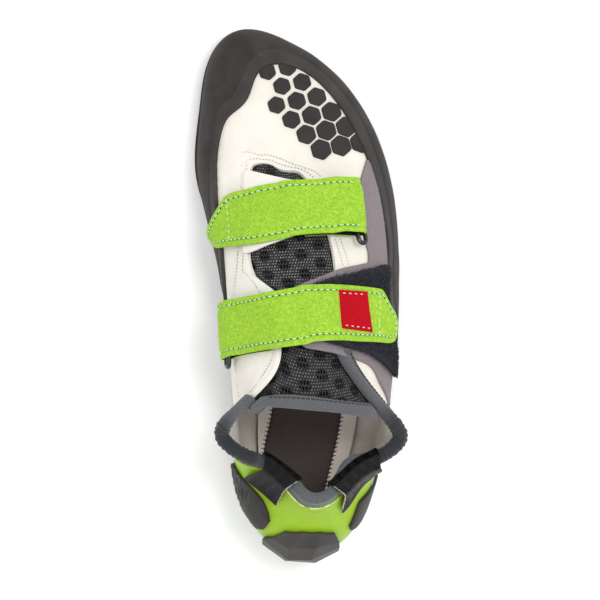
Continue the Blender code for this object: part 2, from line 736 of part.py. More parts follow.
def channel(turn, depth, leaf_out, leaf_in, rise):
    """A U-shaped surface over the topline, from the outer leaf's end at climb depth to the inner leaf's."""
    marks = np.array([depth, CLIMBS[-2], 1, 1, 1, CLIMBS[-2], depth])
    climb, turn = np.broadcast_arrays(marks[None, :], turn[:, None])
    lift = np.array([leaf_out, leaf_out, leaf_out, (leaf_out + leaf_in) / 2, leaf_in, leaf_in, leaf_in])
    up = np.array([0, 0, rise, rise, rise, 0, 0])
    return rim(turn, climb, up + 0 * climb, lift + 0 * climb)


def make_bindings(finish):
    near, far = GAP, GAP + BINDING_WALL
    for name, span in (("collar_binding", COLLAR_SPAN), ("quarter_binding", QUARTER_SPAN)):
        turn = samples(AROUND, *(np.round(np.array(span) * COLUMNS) / COLUMNS))
        inside = -UPPER_WALL - BINDING_EASE
        outer = channel(turn, BINDING_DEPTH, far, inside - far, far)
        inner = channel(turn, BINDING_DEPTH, near, inside - near, near)
        slab(name, outer, inner, finish)


def make_tongue_binding(finish):
    """A U-shaped strip over the tongue's rear edge, between the throat's sides."""
    cross = samples(CROSSES, *TONGUE_TRIM)[:, None]
    face = -(UPPER_WALL + GAP + TONGUE_CLEARANCE + BINDING_WALL + BINDING_EASE + GAP)
    back = np.array([[0.945, 0.965, TONGUE_REAR, TONGUE_REAR, TONGUE_REAR, 0.965, 0.945]])
    shells = []
    near = GAP + 2 * BINDING_EASE
    for reach in (near + BINDING_WALL, near):
        top, bottom = face + reach, face - TONGUE_WALL - reach
        lift = np.array([[top, top, top, (top + bottom) / 2, bottom, bottom, bottom]]) + 0 * cross
        rise = np.array([[0, 0, reach, reach, reach, 0, 0]])
        beyond = unit(over(TONGUE_REAR, cross, face) - over(TONGUE_REAR - 0.03, cross, face))
        shells.append(over(back + 0 * cross, cross, lift) + beyond * rise[..., None])
    slab("tongue_binding", shells[0], shells[1], finish)


def make_pull_loops(finish):
    """Tape loops that straddle the collar, each with a tunnel over the binding."""
    cup_face = 2 * GAP + CUP_WALL + PULL_LOOP_CLEARANCE
    half = PULL_LOOP_WALL / 2
    climb = np.array([0.62, 0.72, 0.84, 0.94, 1, 1, 1, 1, 1, 0.94, 0.88])
    rise = np.array([0, 0, 0, 0, 0.30, 0.80, 1.0, 0.80, 0.30, 0, 0]) * PULL_LOOP_RISE
    spread = np.array([0, 0.35, 0.80, 1.0, 1.0, 0.70, 0, -0.6, -1, -1, -1])
    outside = cup_face + half + np.clip(spread, 0, 1) * PULL_LOOP_SWELL
    inside = -(UPPER_WALL + BINDING_EASE + 2 * GAP + BINDING_WALL + half)
    lift = np.where(spread >= 0, outside, outside + (inside - outside) * -spread)
    lift[6] = (outside[0] + inside) / 2
    for name, span in PULL_LOOPS.items():
        columns = samples(AROUND, *(np.round(np.array(span) * COLUMNS) / COLUMNS))
        turn, across = np.broadcast_arrays(columns[:, None], climb[None, :])
        surface = rim(turn, across, rise + 0 * turn, lift + 0 * turn)
        sheet(name, surface, PULL_LOOP_WALL, finish)


def refine(table, times):
    """A table of points with straight steps set between its rows and its columns."""
    for axis in (0, 1):
        count = table.shape[axis]
        marks = np.linspace(0, count - 1, (count - 1) * times + 1)
        low = np.minimum(marks.astype(int), count - 2)
        share = (marks - low).reshape([-1 if side == axis else 1 for side in range(3)])
        table = np.take(table, low, axis) * (1 - share) + np.take(table, low + 1, axis) * share
    return table


def make_heel_pad(finish):
    """A faceted block low on the back of the heel. Its flats are straight between the table's points."""
    table = np.array(HEEL_PAD)
    low = 2 * GAP + CUP_WALL + CUP_CLEARANCE
    outer = refine(skin(table[..., 0], table[..., 1], low + table[..., 2] * HEEL_PAD_WALL), 2)
    fine = refine(table, 2)
    return slab("heel_pad", outer, on_facets(fine[..., 0], fine[..., 1], low), finish, smooth=0)


def instep_frame(back, cross, lift):
    """A point over the instep, with the unit vectors across it, along it towards the back, and out of it."""
    step = 0.01
    across = unit(over(back, cross + step, lift) - over(back, cross - step, lift))
    along = unit(over(back + step, cross, lift) - over(back - step, cross, lift))
    return over(back, cross, lift), across, along, unit(np.cross(along, across))


def cross_step(back, cross, distance):
    """The change of cross that moves a point over the instep by a distance."""
    step = 0.01
    ahead, behind = over(back, cross + step), over(back, cross - step)
    return distance * 2 * step / np.linalg.norm(ahead - behind)


def make_strap(tag, rows, floor, green, metal):
    """A strap that folds round a bar of its ring and runs back under itself, and the ring."""
    toward = 1 if rows[-1][0] > rows[0][0] else -1
    table = np.array(rows[::toward])
    knots, front, rear, layers = table.T
    fold_end, tip = rows[-1][0], rows[0][0]
    middle = (rows[-1][1] + rows[-1][2]) / 2
    hollow = RING_WIRE / 2 + RING_PLAY
    radius = hollow + STRAP_WALL / 2
    bar = fold_end - toward * cross_step(middle, fold_end, hollow + STRAP_WALL)
    bar_lift = floor + STRAP_WALL + hollow

    bends = bar - toward * cross_step(middle, bar, np.array([2.0, 1.7, 1.3, 1.0, 0.5]) * FOLD_EASE)
    before = samples(CROSSES, *sorted((tip, bends[0])))[::toward]
    run = np.concatenate([before, bends[1:], [bar]])
    lift = GAP + STRAP_WALL / 2 + (FLAP_WALL + GAP) * np.interp(run, knots, layers)
    distance = np.abs(run - bar) / cross_step(middle, bar, 1.0)
    ease = np.clip(2 - distance / FOLD_EASE, 0, 1)
    lift += (bar_lift + radius - lift) * ease * ease * (3 - 2 * ease)
    share = np.linspace(0, 1, 4)[None, :]

    def backs(cross):
        edge = np.interp(cross, knots, front)[:, None]
        return edge + (np.interp(cross, knots, rear)[:, None] - edge) * share

    top = over(backs(run), run[:, None], lift[:, None])
    swing = np.linspace(math.pi / 2, -math.pi / 2, 9)[1:, None, None]
    centre, across, _, out = instep_frame(backs(np.array([bar])), np.array([[bar]]), bar_lift)
    fold = centre + (across * toward * np.cos(swing) + out * np.sin(swing)) * radius
    under = samples(CROSSES, *sorted((STRAP_RETURNS[tag], bar)))[::-toward]
    under = under[np.abs(under - bar) > cross_step(middle, bar, 0.003)]
    bottom = over(backs(under), under[:, None], floor + STRAP_WALL / 2)
    sheet("strap_" + tag, np.concatenate([top, fold, bottom]), STRAP_WALL, green)

    first, last = rows[-1][1:3]
    length = np.linalg.norm(over(last, bar) - over(first, bar))
    extra = RING_OVERHANG * (last - first) / length
    second = bar - toward * cross_step(middle, bar, RING_PITCH)
    make_ring("ring_" + tag, (first - extra, last + extra), (bar, second), bar_lift, metal)


def make_ring(name, backs, bars, lift, finish):
    """A wire ring whose two long bars lie across the strap, closed at each end by a half circle."""
    back = np.linspace(*backs, 5)
    sides = [over(back, bar, lift) for bar in bars]
    path = [sides[0]]
    for end, order in ((-1, 1), (0, -1)):
        a, b = sides[0][end], sides[1][end]
        inward = unit(sides[0][end] - sides[0][end - 1 if end else 1])
        swing = np.linspace(0, math.pi, 6)[1:-1, None]
        centre, arm = (a + b) / 2, (a - b) / 2 * order
        path.append(centre + arm * np.cos(swing) + inward * np.linalg.norm(arm) * np.sin(swing))
        if order == 1:
            path.append(sides[1][::-1])
    path = np.concatenate(path)
    curve = bpy.data.curves.new(name, "CURVE")
    curve.dimensions = "3D"
    curve.bevel_depth = RING_WIRE / 2
    curve.bevel_resolution = 2
    curve.resolution_u = 1
    curve.render_resolution_u = 0
    spline = curve.splines.new("POLY")
    spline.points.add(len(path) - 1)
    spline.points.foreach_set("co", np.column_stack([path, np.ones(len(path))]).ravel())
    spline.use_cyclic_u = True
    curve.materials.append(finish)
    ring = bpy.data.objects.new(name, curve)
    parts.objects.link(ring)


def main():
    clear_scene()
    white = material("white_leather", (0.86, 0.84, 0.79), 0.6)
    rubber = material("black_rubber", (0.045, 0.043, 0.042), 0.7)
    lime_rubber = material("lime_rubber", (0.32, 0.50, 0.03), 0.5)
    lime_suede = material("lime_suede", (0.27, 0.55, 0.04), 0.9)
    grey = material("grey_suede", (0.33, 0.29, 0.30), 0.9)
    pile = material("navy_pile", (0.012, 0.018, 0.03), 1.0)
    mesh_cloth = material("black_mesh", (0.03, 0.03, 0.033), 0.85)
    trim = material("grey_binding", (0.15, 0.16, 0.17), 0.85)
    tape = material("black_tape", (0.015, 0.015, 0.017), 0.45)
    red = material("red_label", (0.66, 0.012, 0.03), 0.7)
    wire = material("dark_wire", (0.06, 0.06, 0.065), 0.3, 0.6)
    footbed = material("brown_footbed", (0.05, 0.042, 0.038), 0.8)

    make_upper(white)
    make_soles(rubber, footbed)
    make_rand(rubber)
    make_tongue(mesh_cloth)
    wall_panel("toe_patch", TOE_PATCH, GAP, TOE_PATCH_WALL, rubber)
    wall_panel("heel_cup", HEEL_CUP, GAP, CUP_WALL, lime_rubber)
    on_cup = 2 * GAP + CUP_WALL + CUP_CLEARANCE / 2
    wall_panel("heel_inset_medial", HEEL_INSET_MEDIAL, on_cup, INSET_WALL, rubber)
    wall_panel("heel_inset_lateral", HEEL_INSET_LATERAL, on_cup, INSET_WALL, rubber)
    make_heel_pad(rubber)
    on_flap = 2 * GAP + FLAP_CLEARANCE + FLAP_WALL
    instep_panel("medial_flap", MEDIAL_FLAP, INNER_BACKS, GAP, FLAP_WALL, white)
    side_flap("lateral_flap", LATERAL_FLAP, GAP + FLAP_CLEARANCE, FLAP_WALL, grey)
    side_flap("loop_patch", LOOP_PATCH, on_flap + FLAP_CLEARANCE, LOOP_PATCH_WALL, pile)
    make_bindings(trim)
    make_tongue_binding(trim)
    make_pull_loops(tape)
    make_strap("front", STRAP_FRONT, on_flap, lime_suede, wire)
    make_strap("rear", STRAP_REAR, GAP, lime_suede, wire)
    on_strap = 2 * GAP + STRAP_WALL + (FLAP_WALL + GAP) * STRAP_REAR[0][3]
    instep_panel("strap_label", STRAP_LABEL, OUTER_BACKS, on_strap, LABEL_WALL, red, swap=True)


main()
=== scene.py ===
# %% [markdown]
# # A climbing shoe, dressed
# The solid model fixes sizes and places. This lesson gives it its looks: smooth leather, sheet
# rubber, suede straps, knitted mesh, woven tape and thread. Each piece is a surface worked out with
# numpy on one last, so that the layers lie on each other as they do on the real shoe.

import math

import bmesh
import bpy
import numpy as np
from mathutils import Matrix, Vector


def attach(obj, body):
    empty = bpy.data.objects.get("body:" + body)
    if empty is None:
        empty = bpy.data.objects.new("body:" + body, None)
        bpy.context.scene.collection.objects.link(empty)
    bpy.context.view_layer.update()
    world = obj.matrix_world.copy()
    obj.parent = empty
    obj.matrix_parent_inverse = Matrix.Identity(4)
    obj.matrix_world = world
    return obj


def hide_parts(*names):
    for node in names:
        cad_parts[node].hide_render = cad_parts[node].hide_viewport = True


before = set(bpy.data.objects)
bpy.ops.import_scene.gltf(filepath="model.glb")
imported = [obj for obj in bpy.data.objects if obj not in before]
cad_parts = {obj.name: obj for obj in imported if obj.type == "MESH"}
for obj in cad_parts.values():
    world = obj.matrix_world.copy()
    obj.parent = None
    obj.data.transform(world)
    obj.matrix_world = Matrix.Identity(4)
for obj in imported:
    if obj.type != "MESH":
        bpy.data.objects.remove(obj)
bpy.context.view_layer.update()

# %% [markdown]
# ## The last
# A shoe is pulled over a last, and every layer of its upper follows that one form. The tables are the
# solid model's: the full line seen from above, the topline, and how the wall runs between the two.
# Turn goes once round the shoe from the back of the heel, by the outer side, to the toe near 0.5 and
# back by the inner side. Climb goes from 0 at the sole to 1 at the topline.

# %% Sizes of the last
LENGTH = 0.256
BALL_WIDTH = 0.095
INSTEP_HEIGHT = 0.080
COLLAR_HEIGHT = 0.066
ARCH_LIFT = 0.008
TOE_SPRING = 0.002
SIDE_HEIGHT = 0.026
ARCH_BACK, ARCH_FRONT, TOE_FLAT_END = -0.30, 0.15, 0.40
FULL_CLIMB = 0.22
THROAT_FRONT = (0.325, 0.641)
THROAT_BACK = (0.146, 0.845)
MIDDLE = np.array([-0.004, 0.0105])

# Walls and clearances of the layers
GAP = 0.0003
UPPER_WALL = 0.0020
RAND_WALL = 0.0018
CUP_WALL = 0.0018
CUP_CLEARANCE = 0.0004
FLAP_WALL = 0.0012
BINDING_WALL = 0.0012
STRAP_WALL = 0.0016

OUTLINE = [
    # turn, across, along
    (0.000, 0.010, -0.4720),
    (0.044, 0.235, -0.433),
    (0.083, 0.332, -0.351),
    (0.130, 0.410, -0.242),
    (0.180, 0.450, -0.121),
    (0.235, 0.475, 0.016),
    (0.300, 0.467, 0.172),
    (0.340, 0.416, 0.264),
    (0.380, 0.312, 0.352),
    (0.420, 0.153, 0.426),
    (0.460, -0.058, 0.478),
    (0.500, -0.292, 0.4985),
    (0.520, -0.379, 0.480),
    (0.540, -0.432, 0.445),
    (0.580, -0.469, 0.363),
    (0.634, -0.489, 0.246),
    (0.680, -0.444, 0.150),
    (0.730, -0.382, 0.043),
    (0.790, -0.354, -0.086),
    (0.850, -0.335, -0.219),
    (0.900, -0.303, -0.328),
    (0.950, -0.216, -0.420),
]
TOPLINE = [
    # turn, across, along, instep, collar
    (0.000, 0.053, -0.3785, 0.00, 1.00),
    (0.040, 0.164, -0.355, 0.00, 0.97),
    (0.075, 0.247, -0.309, 0.00, 0.895),
    (0.100, 0.379, -0.301, 0.00, 0.855),
    (0.122, 0.489, -0.266, 0.00, 0.85),
    (0.146, 0.400, -0.215, 0.40, 0.48),
    (0.167, 0.237, -0.148, 0.96, 0.00),
    (0.207, 0.154, -0.055, 0.95, 0.00),
    (0.250, 0.152, 0.055, 0.80, 0.00),
    (0.290, 0.095, 0.146, 0.69, 0.00),
    (0.325, 0.020, 0.211, 0.62, 0.00),
    (0.370, -0.058, 0.2275, 0.61, 0.00),
    (0.500, -0.158, 0.239, 0.58, 0.00),
    (0.600, -0.237, 0.2405, 0.545, 0.00),
    (0.637, -0.262, 0.224, 0.55, 0.00),
    (0.660, -0.266, 0.188, 0.59, 0.00),
    (0.692, -0.268, 0.120, 0.67, 0.00),
    (0.728, -0.268, 0.045, 0.755, 0.00),
    (0.752, -0.210, -0.004, 0.86, 0.00),
    (0.788, -0.142, -0.082, 1.00, 0.00),
    (0.824, -0.190, -0.162, 1.02, 0.00),
    (0.845, -0.325, -0.209, 0.50, 0.42),
    (0.867, -0.414, -0.257, 0.00, 0.85),
    (0.893, -0.290, -0.300, 0.00, 0.855),
    (0.925, -0.145, -0.316, 0.00, 0.91),
    (0.965, -0.030, -0.362, 0.00, 0.985),
]
FLANK = [
    # turn, full, tuck, swell, reach, fall
    (0.000, 0.75, 0.085, 0.38, 0.15, 0.42),
    (0.060, 0.85, 0.090, 0.42, 0.20, 0.40),
    (0.122, 0.90, 0.095, 0.40, 0.50, 0.30),
    (0.180, 0.80, 0.095, 0.48, 0.45, 0.22),
    (0.240, 0.45, 0.030, 0.50, 0.48, 0.22),
    (0.320, 0.30, 0.006, 0.50, 0.50, 0.22),
    (0.420, 0.28, 0.005, 0.46, 0.52, 0.34),
    (0.500, 0.28, 0.005, 0.44, 0.52, 0.36),
    (0.580, 0.30, 0.005, 0.48, 0.52, 0.30),
    (0.650, 0.34, 0.012, 0.52, 0.50, 0.22),
    (0.720, 0.70, 0.085, 0.48, 0.48, 0.24),
    (0.800, 1.00, 0.135, 0.46, 0.45, 0.24),
    (0.867, 0.95, 0.100, 0.42, 0.50, 0.30),
    (0.940, 0.85, 0.090, 0.42, 0.20, 0.40),
]

# %% [markdown]
# The tables become smooth lines with cubic splines. A closed table is a periodic spline. An open
# table, such as the two edges of an overlay, takes each row's slope from its two neighbours.

# %% Smooth lines through tables
class Loop:
    """A closed curve through the rows of a table: cubics whose slopes make their bends match."""

    def __init__(self, rows):
        """Solve for the slope at each row, so that the two cubics beside it bend alike there."""
        rows = np.array(rows, float)
        self.knots, self.values = rows[:, 0], rows[:, 1:]
        count = len(rows)
        self.step = np.diff(np.append(self.knots, self.knots[0] + 1))
        before = np.roll(self.step, 1)
        rise = (np.roll(self.values, -1, 0) - self.values) / self.step[:, None]
        row = np.arange(count)
        system = np.zeros((count, count))
        system[row, row] = 2 * (before + self.step)
        system[row, row - 1] = self.step
        system[row, (row + 1) % count] = before
        wanted = 3 * (self.step[:, None] * np.roll(rise, 1, 0) + before[:, None] * rise)
        self.slopes = np.linalg.solve(system, wanted)

    def __call__(self, turn):
        """The row at any turn: the cubic through two rows with the slopes found for them."""
        turn = np.mod(turn, 1.0)
        low = np.searchsorted(self.knots, turn, side="right") - 1
        high = (low + 1) % len(self.knots)
        step = self.step[low][..., None]
        t = (turn - self.knots[low])[..., None] / step
        a, b = self.values[low], self.values[high]
        slope_a, slope_b = self.slopes[low] * step, self.slopes[high] * step
        return (
            a * (1 + 2 * t) * (1 - t) ** 2
            + slope_a * t * (1 - t) ** 2
            + b * t * t * (3 - 2 * t)
            + slope_b * t * t * (t - 1)
        )


def through(rows, at):
    """An open table read anywhere in its first column, by cubics. The slope at a row is the harmonic mean
    of the steps beside it, and level where they turn, so that the line never overshoots a row."""
    rows = np.array(rows, float)
    knots, values = rows[:, 0], rows[:, 1:]
    rise = np.diff(values, axis=0) / np.diff(knots)[:, None]
    both = rise[1:] * rise[:-1]
    inner = np.where(both > 0, 2 * both / (rise[1:] + rise[:-1] + 1e-12), 0)
    slopes = np.concatenate([rise[:1], inner, rise[-1:]])
    at = np.clip(np.asarray(at, float), knots[0], knots[-1])
    low = np.clip(np.searchsorted(knots, at, side="right") - 1, 0, len(knots) - 2)
    step = (knots[low + 1] - knots[low])[..., None]
    t = (at - knots[low])[..., None] / step
    a, b = values[low], values[low + 1]
    return (
        a * (1 + 2 * t) * (1 - t) ** 2
        + slopes[low] * step * t * (1 - t) ** 2
        + b * t * t * (3 - 2 * t)
        + slopes[low + 1] * step * t * t * (t - 1)
    )


def between(ends, marks):
    """Values that run evenly from a table's first column to its second, by marks from 0 to 1."""
    return ends[:, 0:1] + (ends[:, 1:2] - ends[:, 0:1]) * marks


outline_at, topline_at, flank_at = Loop(OUTLINE), Loop(TOPLINE), Loop(FLANK)
print("the last has", len(OUTLINE), "outline and", len(TOPLINE), "topline rows")

# %% [markdown]
# The wall is two Bezier curves at each turn: one from the sole's seat out to the full line, one from
# there up and in to the topline. Moving a point along the wall's normal gives the layers, and the
# same is done over the instep, where a third curve spans the throat from side to side.

# %% The form's functions
HALF_STEP = 1e-4


def bezier(points, t):
    """A cubic from the first of four points to the last, pulled by the middle two."""
    a, b, c, d = points
    t = t[..., None]
    return a * (1 - t) ** 3 + 3 * b * t * (1 - t) ** 2 + 3 * c * t * t * (1 - t) + d * t**3


def rocker(y):
    """Height of the sole's underside: one cosine wave over the arch and a square rise at the toe tip."""
    span = (ARCH_FRONT - ARCH_BACK) * LENGTH
    along_arch = np.clip((y - ARCH_BACK * LENGTH) / span, 0, 1)
    past_flat = np.clip((y / LENGTH - TOE_FLAT_END) / (0.5 - TOE_FLAT_END), 0, None)
    return ARCH_LIFT * (1 - np.cos(2 * math.pi * along_arch)) / 2 + TOE_SPRING * past_flat**2


OUTSOLE_THICKNESS = 0.0042


def seat(y):
    """Height at which the upper and the insole stand on the outsole."""
    return rocker(y) + OUTSOLE_THICKNESS + GAP


def unit(vectors):
    """Each vector divided by its length."""
    return vectors / np.maximum(np.linalg.norm(vectors, axis=-1, keepdims=True), 1e-12)


def plan_of(turn):
    """The full line's place from above, in metres."""
    return (outline_at(turn) - MIDDLE) * np.array([BALL_WIDTH, LENGTH])


def foot_of(turn, margin=0.0):
    """The point on the sole's seat below the wall, moved outwards in plan by margin."""
    along = plan_of(turn + HALF_STEP) - plan_of(turn - HALF_STEP)
    outward = unit(np.stack([along[..., 1], -along[..., 0]], -1))
    inset = flank_at(turn)[..., 1] * BALL_WIDTH
    plan = plan_of(turn) - outward * (inset - margin)[..., None]
    return np.concatenate([plan, seat(plan[..., 1])[..., None]], -1)


def wall_points(turn):
    """The four points that pull the wall's curve from the full line to the topline."""
    full, _, swell, reach, fall = np.moveaxis(flank_at(turn), -1, 0)
    plan = plan_of(turn)
    base = np.concatenate([plan, (seat(plan[..., 1]) + full * SIDE_HEIGHT)[..., None]], -1)
    row = topline_at(turn)
    top_plan = (row[..., :2] - MIDDLE) * np.array([BALL_WIDTH, LENGTH])
    height = row[..., 2] * INSTEP_HEIGHT + row[..., 3] * COLLAR_HEIGHT
    top = np.concatenate([top_plan, height[..., None]], -1)
    drop = top[..., 2] - base[..., 2]
    upright = base.copy()
    upright[..., 2] += swell * drop
    lean = top + (base - top) * reach[..., None]
    lean[..., 2] = top[..., 2] - fall * drop
    return base, upright, lean, top


TURNS = 20000
all_turns = np.arange(TURNS + 1) / TURNS
CONTROL = np.stack([foot_of(all_turns), *wall_points(all_turns)], 1)


def control_at(turn):
    """The foot and the wall's four points at any turn, read by straight steps from a fine table of them."""
    place = np.mod(turn, 1.0) * TURNS
    low = np.minimum(place.astype(int), TURNS - 1)
    t = (place - low)[..., None, None]
    return np.moveaxis(CONTROL[low] * (1 - t) + CONTROL[low + 1] * t, -2, 0)


def bare_skin(turn, climb):
    """The upper's outer face: a curve from the sole's seat to the full line and one on to the topline."""
    turn, climb = np.broadcast_arrays(np.asarray(turn, float), np.asarray(climb, float))
    foot, *walls = control_at(turn)
    base = walls[0]
    rise = base - foot
    flare = foot + rise * np.array([0.45, 0.45, 0.20])
    knee = base - rise * np.array([0, 0, 0.55])
    low = bezier((foot, flare, knee, base), np.clip(climb / FULL_CLIMB, 0, 1))
    high = bezier(walls, np.clip((climb - FULL_CLIMB) / (1 - FULL_CLIMB), 0, 1))
    return np.where((climb < FULL_CLIMB)[..., None], low, high)


def skin(turn, climb, lift=0.0):
    """A point of the wall moved out by lift along the normal, which is level below the full line."""
    turn, climb = np.broadcast_arrays(np.asarray(turn, float), np.asarray(climb, float))
    low, high = np.clip(climb - HALF_STEP, 0, 1), np.clip(climb + HALF_STEP, 0, 1)
    along = bare_skin(turn + HALF_STEP, climb) - bare_skin(turn - HALF_STEP, climb)
    normal = unit(np.cross(along, bare_skin(turn, high) - bare_skin(turn, low)))
    level = np.clip(climb / FULL_CLIMB, 0, 1)
    normal[..., 2] *= level * level * (3 - 2 * level)
    return bare_skin(turn, climb) + unit(normal) * np.asarray(lift)[..., None]


def throat_turns(back):
    """Outer and inner turn beside the throat, from 0 at its front to 1 at its back."""
    return [front + (rear - front) * back for front, rear in zip(THROAT_FRONT, THROAT_BACK)]


def bare_over(back, cross):
    """The instep from side to side: cross below 0 is the inner wall, 0 to 1 spans the throat with a cubic
    that leaves both walls in their own direction, and above 1 is the outer wall."""
    outer, inner = throat_turns(back)
    walls_in, walls_out = control_at(inner)[1:], control_at(outer)[1:]
    start, end = walls_in[3], walls_out[3]
    pull = 0.36 * np.linalg.norm(end - start, axis=-1, keepdims=True)
    lead_in = start + unit(start - walls_in[2]) * pull
    lead_out = end + unit(end - walls_out[2]) * pull
    middle = bezier((start, lead_in, lead_out, end), np.clip(cross, 0, 1))
    inside = bare_skin(inner, np.clip(1 + cross, 0, 1))
    outside = bare_skin(outer, np.clip(2 - cross, 0, 1))
    middle = np.where((cross > 1)[..., None], outside, middle)
    return np.where((cross < 0)[..., None], inside, middle)


def over(back, cross, lift=0.0):
    """A point over the instep moved out by lift, along the wall's own normal beside the throat and along
    the span's within it."""
    back, cross, lift = np.broadcast_arrays(*[np.asarray(a, float) for a in (back, cross, lift)])
    shape = back.shape
    back, cross, lift = back.ravel(), cross.ravel(), lift.ravel()
    outer, inner = throat_turns(back)
    points = np.empty((len(back), 3))
    for part, turn, climb in ((cross <= 0, inner, 1 + cross), (cross >= 1, outer, 2 - cross)):
        points[part] = skin(turn[part], np.clip(climb[part], 0, 1), lift[part])
    part, step = (cross > 0) & (cross < 1), 0.004
    b, c = back[part], cross[part]
    along = bare_over(b - step, c) - bare_over(b + step, c)
    across = bare_over(b, c + step) - bare_over(b, c - step)
    points[part] = bare_over(b, c) + unit(np.cross(across, along)) * lift[part][:, None]
    return points.reshape(*shape, 3)


print("instep height at its middle:", round(1000 * float(over(0.6, 0.5)[2]), 1), "mm")

# %% [markdown]
# ## From numbers to meshes
# A layer is a thin closed shell: an outer grid of points, an inner grid, and a rim between their
# edges. Its outer face falls away close to its edges, as cut and pressed leather or moulded rubber
# does. UV coordinates run in metres along the surface, so that a weave has its real size.

# %% Grids, edges and shells
def spread(count, crowd=0.75):
    """Marks from 0 to 1 that crowd towards both ends: even steps blended with half a cosine wave."""
    even = np.linspace(0, 1, count)
    return even + crowd * ((1 - np.cos(math.pi * even)) / 2 - even)


def lengths_along(points, axis):
    """Distance run along a grid's lines from their first points."""
    steps = np.linalg.norm(np.diff(points, axis=axis), axis=-1)
    run = np.cumsum(steps, axis)
    return np.concatenate([np.zeros_like(np.take(run, [0], axis)), run], axis)


def edge_distance(points):
    """Distance along the surface from each grid point to the nearest edge."""
    found = np.ones(points.shape[:2])
    for axis in (0, 1):
        run = lengths_along(points, axis)
        found = np.minimum(found, np.minimum(run, np.take(run, [-1], axis) - run))
    return found


def rounded(distance, radius):
    """0 at an edge and 1 from radius inwards, along a quarter circle."""
    q = np.clip(distance / radius, 0, 1)
    return np.sqrt(np.clip(1 - (1 - q) ** 2, 0, 1))


def smooth_step(low, high, value):
    """0 below low, 1 above high, with a smooth rise between."""
    t = np.clip((value - low) / (high - low), 0, 1)
    return t * t * (3 - 2 * t)


def arc_uv(points):
    """UV in metres: distance along the rows from the middle column, and along the columns from the
    middle row."""
    across, along = lengths_along(points, 1), lengths_along(points, 0)
    middle_column, middle_row = points.shape[1] // 2, points.shape[0] // 2
    across = across - across[:, middle_column : middle_column + 1]
    along = along - along[middle_row : middle_row + 1]
    return np.stack([across, along], -1)


def grid_quads(rows, columns, ring=False, first=0):
    """Quads between a grid's points. A ring joins its last column to its first."""
    index = first + np.arange(rows * columns).reshape(rows, columns)
    right = np.roll(index, -1, 1) if ring else index[:, 1:]
    left = index if ring else index[:, :-1]
    return np.stack([left[:-1], right[:-1], right[1:], left[1:]], -1).reshape(-1, 4)


def fill_mesh(name, points, quads, uv=None, which=None, marks=None):
    """A mesh from arrays of points and quads, with UVs, material numbers and named values at its points."""
    points, quads = np.asarray(points, float).reshape(-1, 3), np.asarray(quads)
    mesh = bpy.data.meshes.new(name)
    mesh.vertices.add(len(points))
    mesh.vertices.foreach_set("co", points.ravel())
    mesh.loops.add(quads.size)
    mesh.loops.foreach_set("vertex_index", quads.ravel())
    mesh.polygons.add(len(quads))
    mesh.polygons.foreach_set("loop_start", np.arange(0, quads.size, quads.shape[1]))
    if which is not None:
        mesh.polygons.foreach_set("material_index", which)
    if uv is not None:
        layer = mesh.uv_layers.new(name="UVMap")
        layer.uv.foreach_set("vector", np.asarray(uv, float).reshape(-1, 2)[quads.ravel()].ravel())
    for label, values in (marks or {}).items():
        mesh.attributes.new(label, "FLOAT", "POINT").data.foreach_set("value", np.ravel(values))
    mesh.update(calc_edges=True)
    mesh.validate()
    return mesh


def piece(name, mesh, finishes, nodes=(), smooth=50, merge=True):
    """An object that rides on the shoe, stands for its CAD nodes and is shaded smooth up to an angle."""
    for finish in finishes if isinstance(finishes, (list, tuple)) else [finishes]:
        mesh.materials.append(finish)
    if merge:
        shape = bmesh.new()
        shape.from_mesh(mesh)
        bmesh.ops.remove_doubles(shape, verts=shape.verts, dist=2e-6)
        bmesh.ops.recalc_face_normals(shape, faces=shape.faces)
        shape.to_mesh(mesh)
        shape.free()
    mesh.shade_smooth()
    if smooth < 180:
        mesh.set_sharp_from_angle(angle=math.radians(smooth))
    thing = bpy.data.objects.new(name, mesh)
    bpy.context.scene.collection.objects.link(thing)
    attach(thing, "root")
    if nodes:
        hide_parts(*nodes)
    return thing


def shell(name, outer, inner, finishes, nodes=(), ring=False, marks=None, smooth=50, flat=None):
    """A closed solid between two grids, with a rim of quads round their edges. With two finishes, the second
    is for its inner face. flat gives the UV where the grid's own lengths won't do."""
    rows, columns = outer.shape[:2]
    count = rows * columns
    index = np.arange(count).reshape(rows, columns)
    face, back = grid_quads(rows, columns, ring), grid_quads(rows, columns, ring, count)[:, ::-1]
    if ring:
        rims = [index[0], index[-1]]
    else:
        rims = [np.concatenate([index[0], index[1:, -1], index[-1, -2::-1], index[-2:0:-1, 0]])]
    sides = [
        np.stack([edge, np.roll(edge, -1), np.roll(edge, -1) + count, edge + count], -1) for edge in rims
    ]
    quads = np.concatenate([face, back, *sides])
    which = np.zeros(len(quads), int)
    if isinstance(finishes, (list, tuple)):
        which[len(face) : len(face) + len(back)] = 1
    points = np.concatenate([outer.reshape(-1, 3), inner.reshape(-1, 3)])
    uv = np.concatenate([(arc_uv(outer) if flat is None else flat).reshape(-1, 2)] * 2)
    both = {label: np.concatenate([values.ravel()] * 2) for label, values in (marks or {}).items()}
    mesh = fill_mesh(name, points, quads, uv, which, both)
    return piece(name, mesh, finishes, nodes, smooth)


def layer(name, place, u, v, low, wall, finishes, slot, nodes=(), edge=0.0006, soft=0.7, relief=None):
    """A shell on the form: place(u, v, lift) at low and at low + wall, with its outer edges rounded off.
    relief(distance to edge, u, v) gives a further lift."""
    u, v = np.broadcast_arrays(u, v)
    distance = edge_distance(place(u, v, low + wall + 0 * u))
    height = wall * (1 - soft + soft * rounded(distance, edge))
    if relief is not None:
        height = height + relief(distance, u, v)
    outer, inner = place(u, v, low + height), place(u, v, low + 0 * u)
    return shell(name, outer, inner, finishes, nodes)


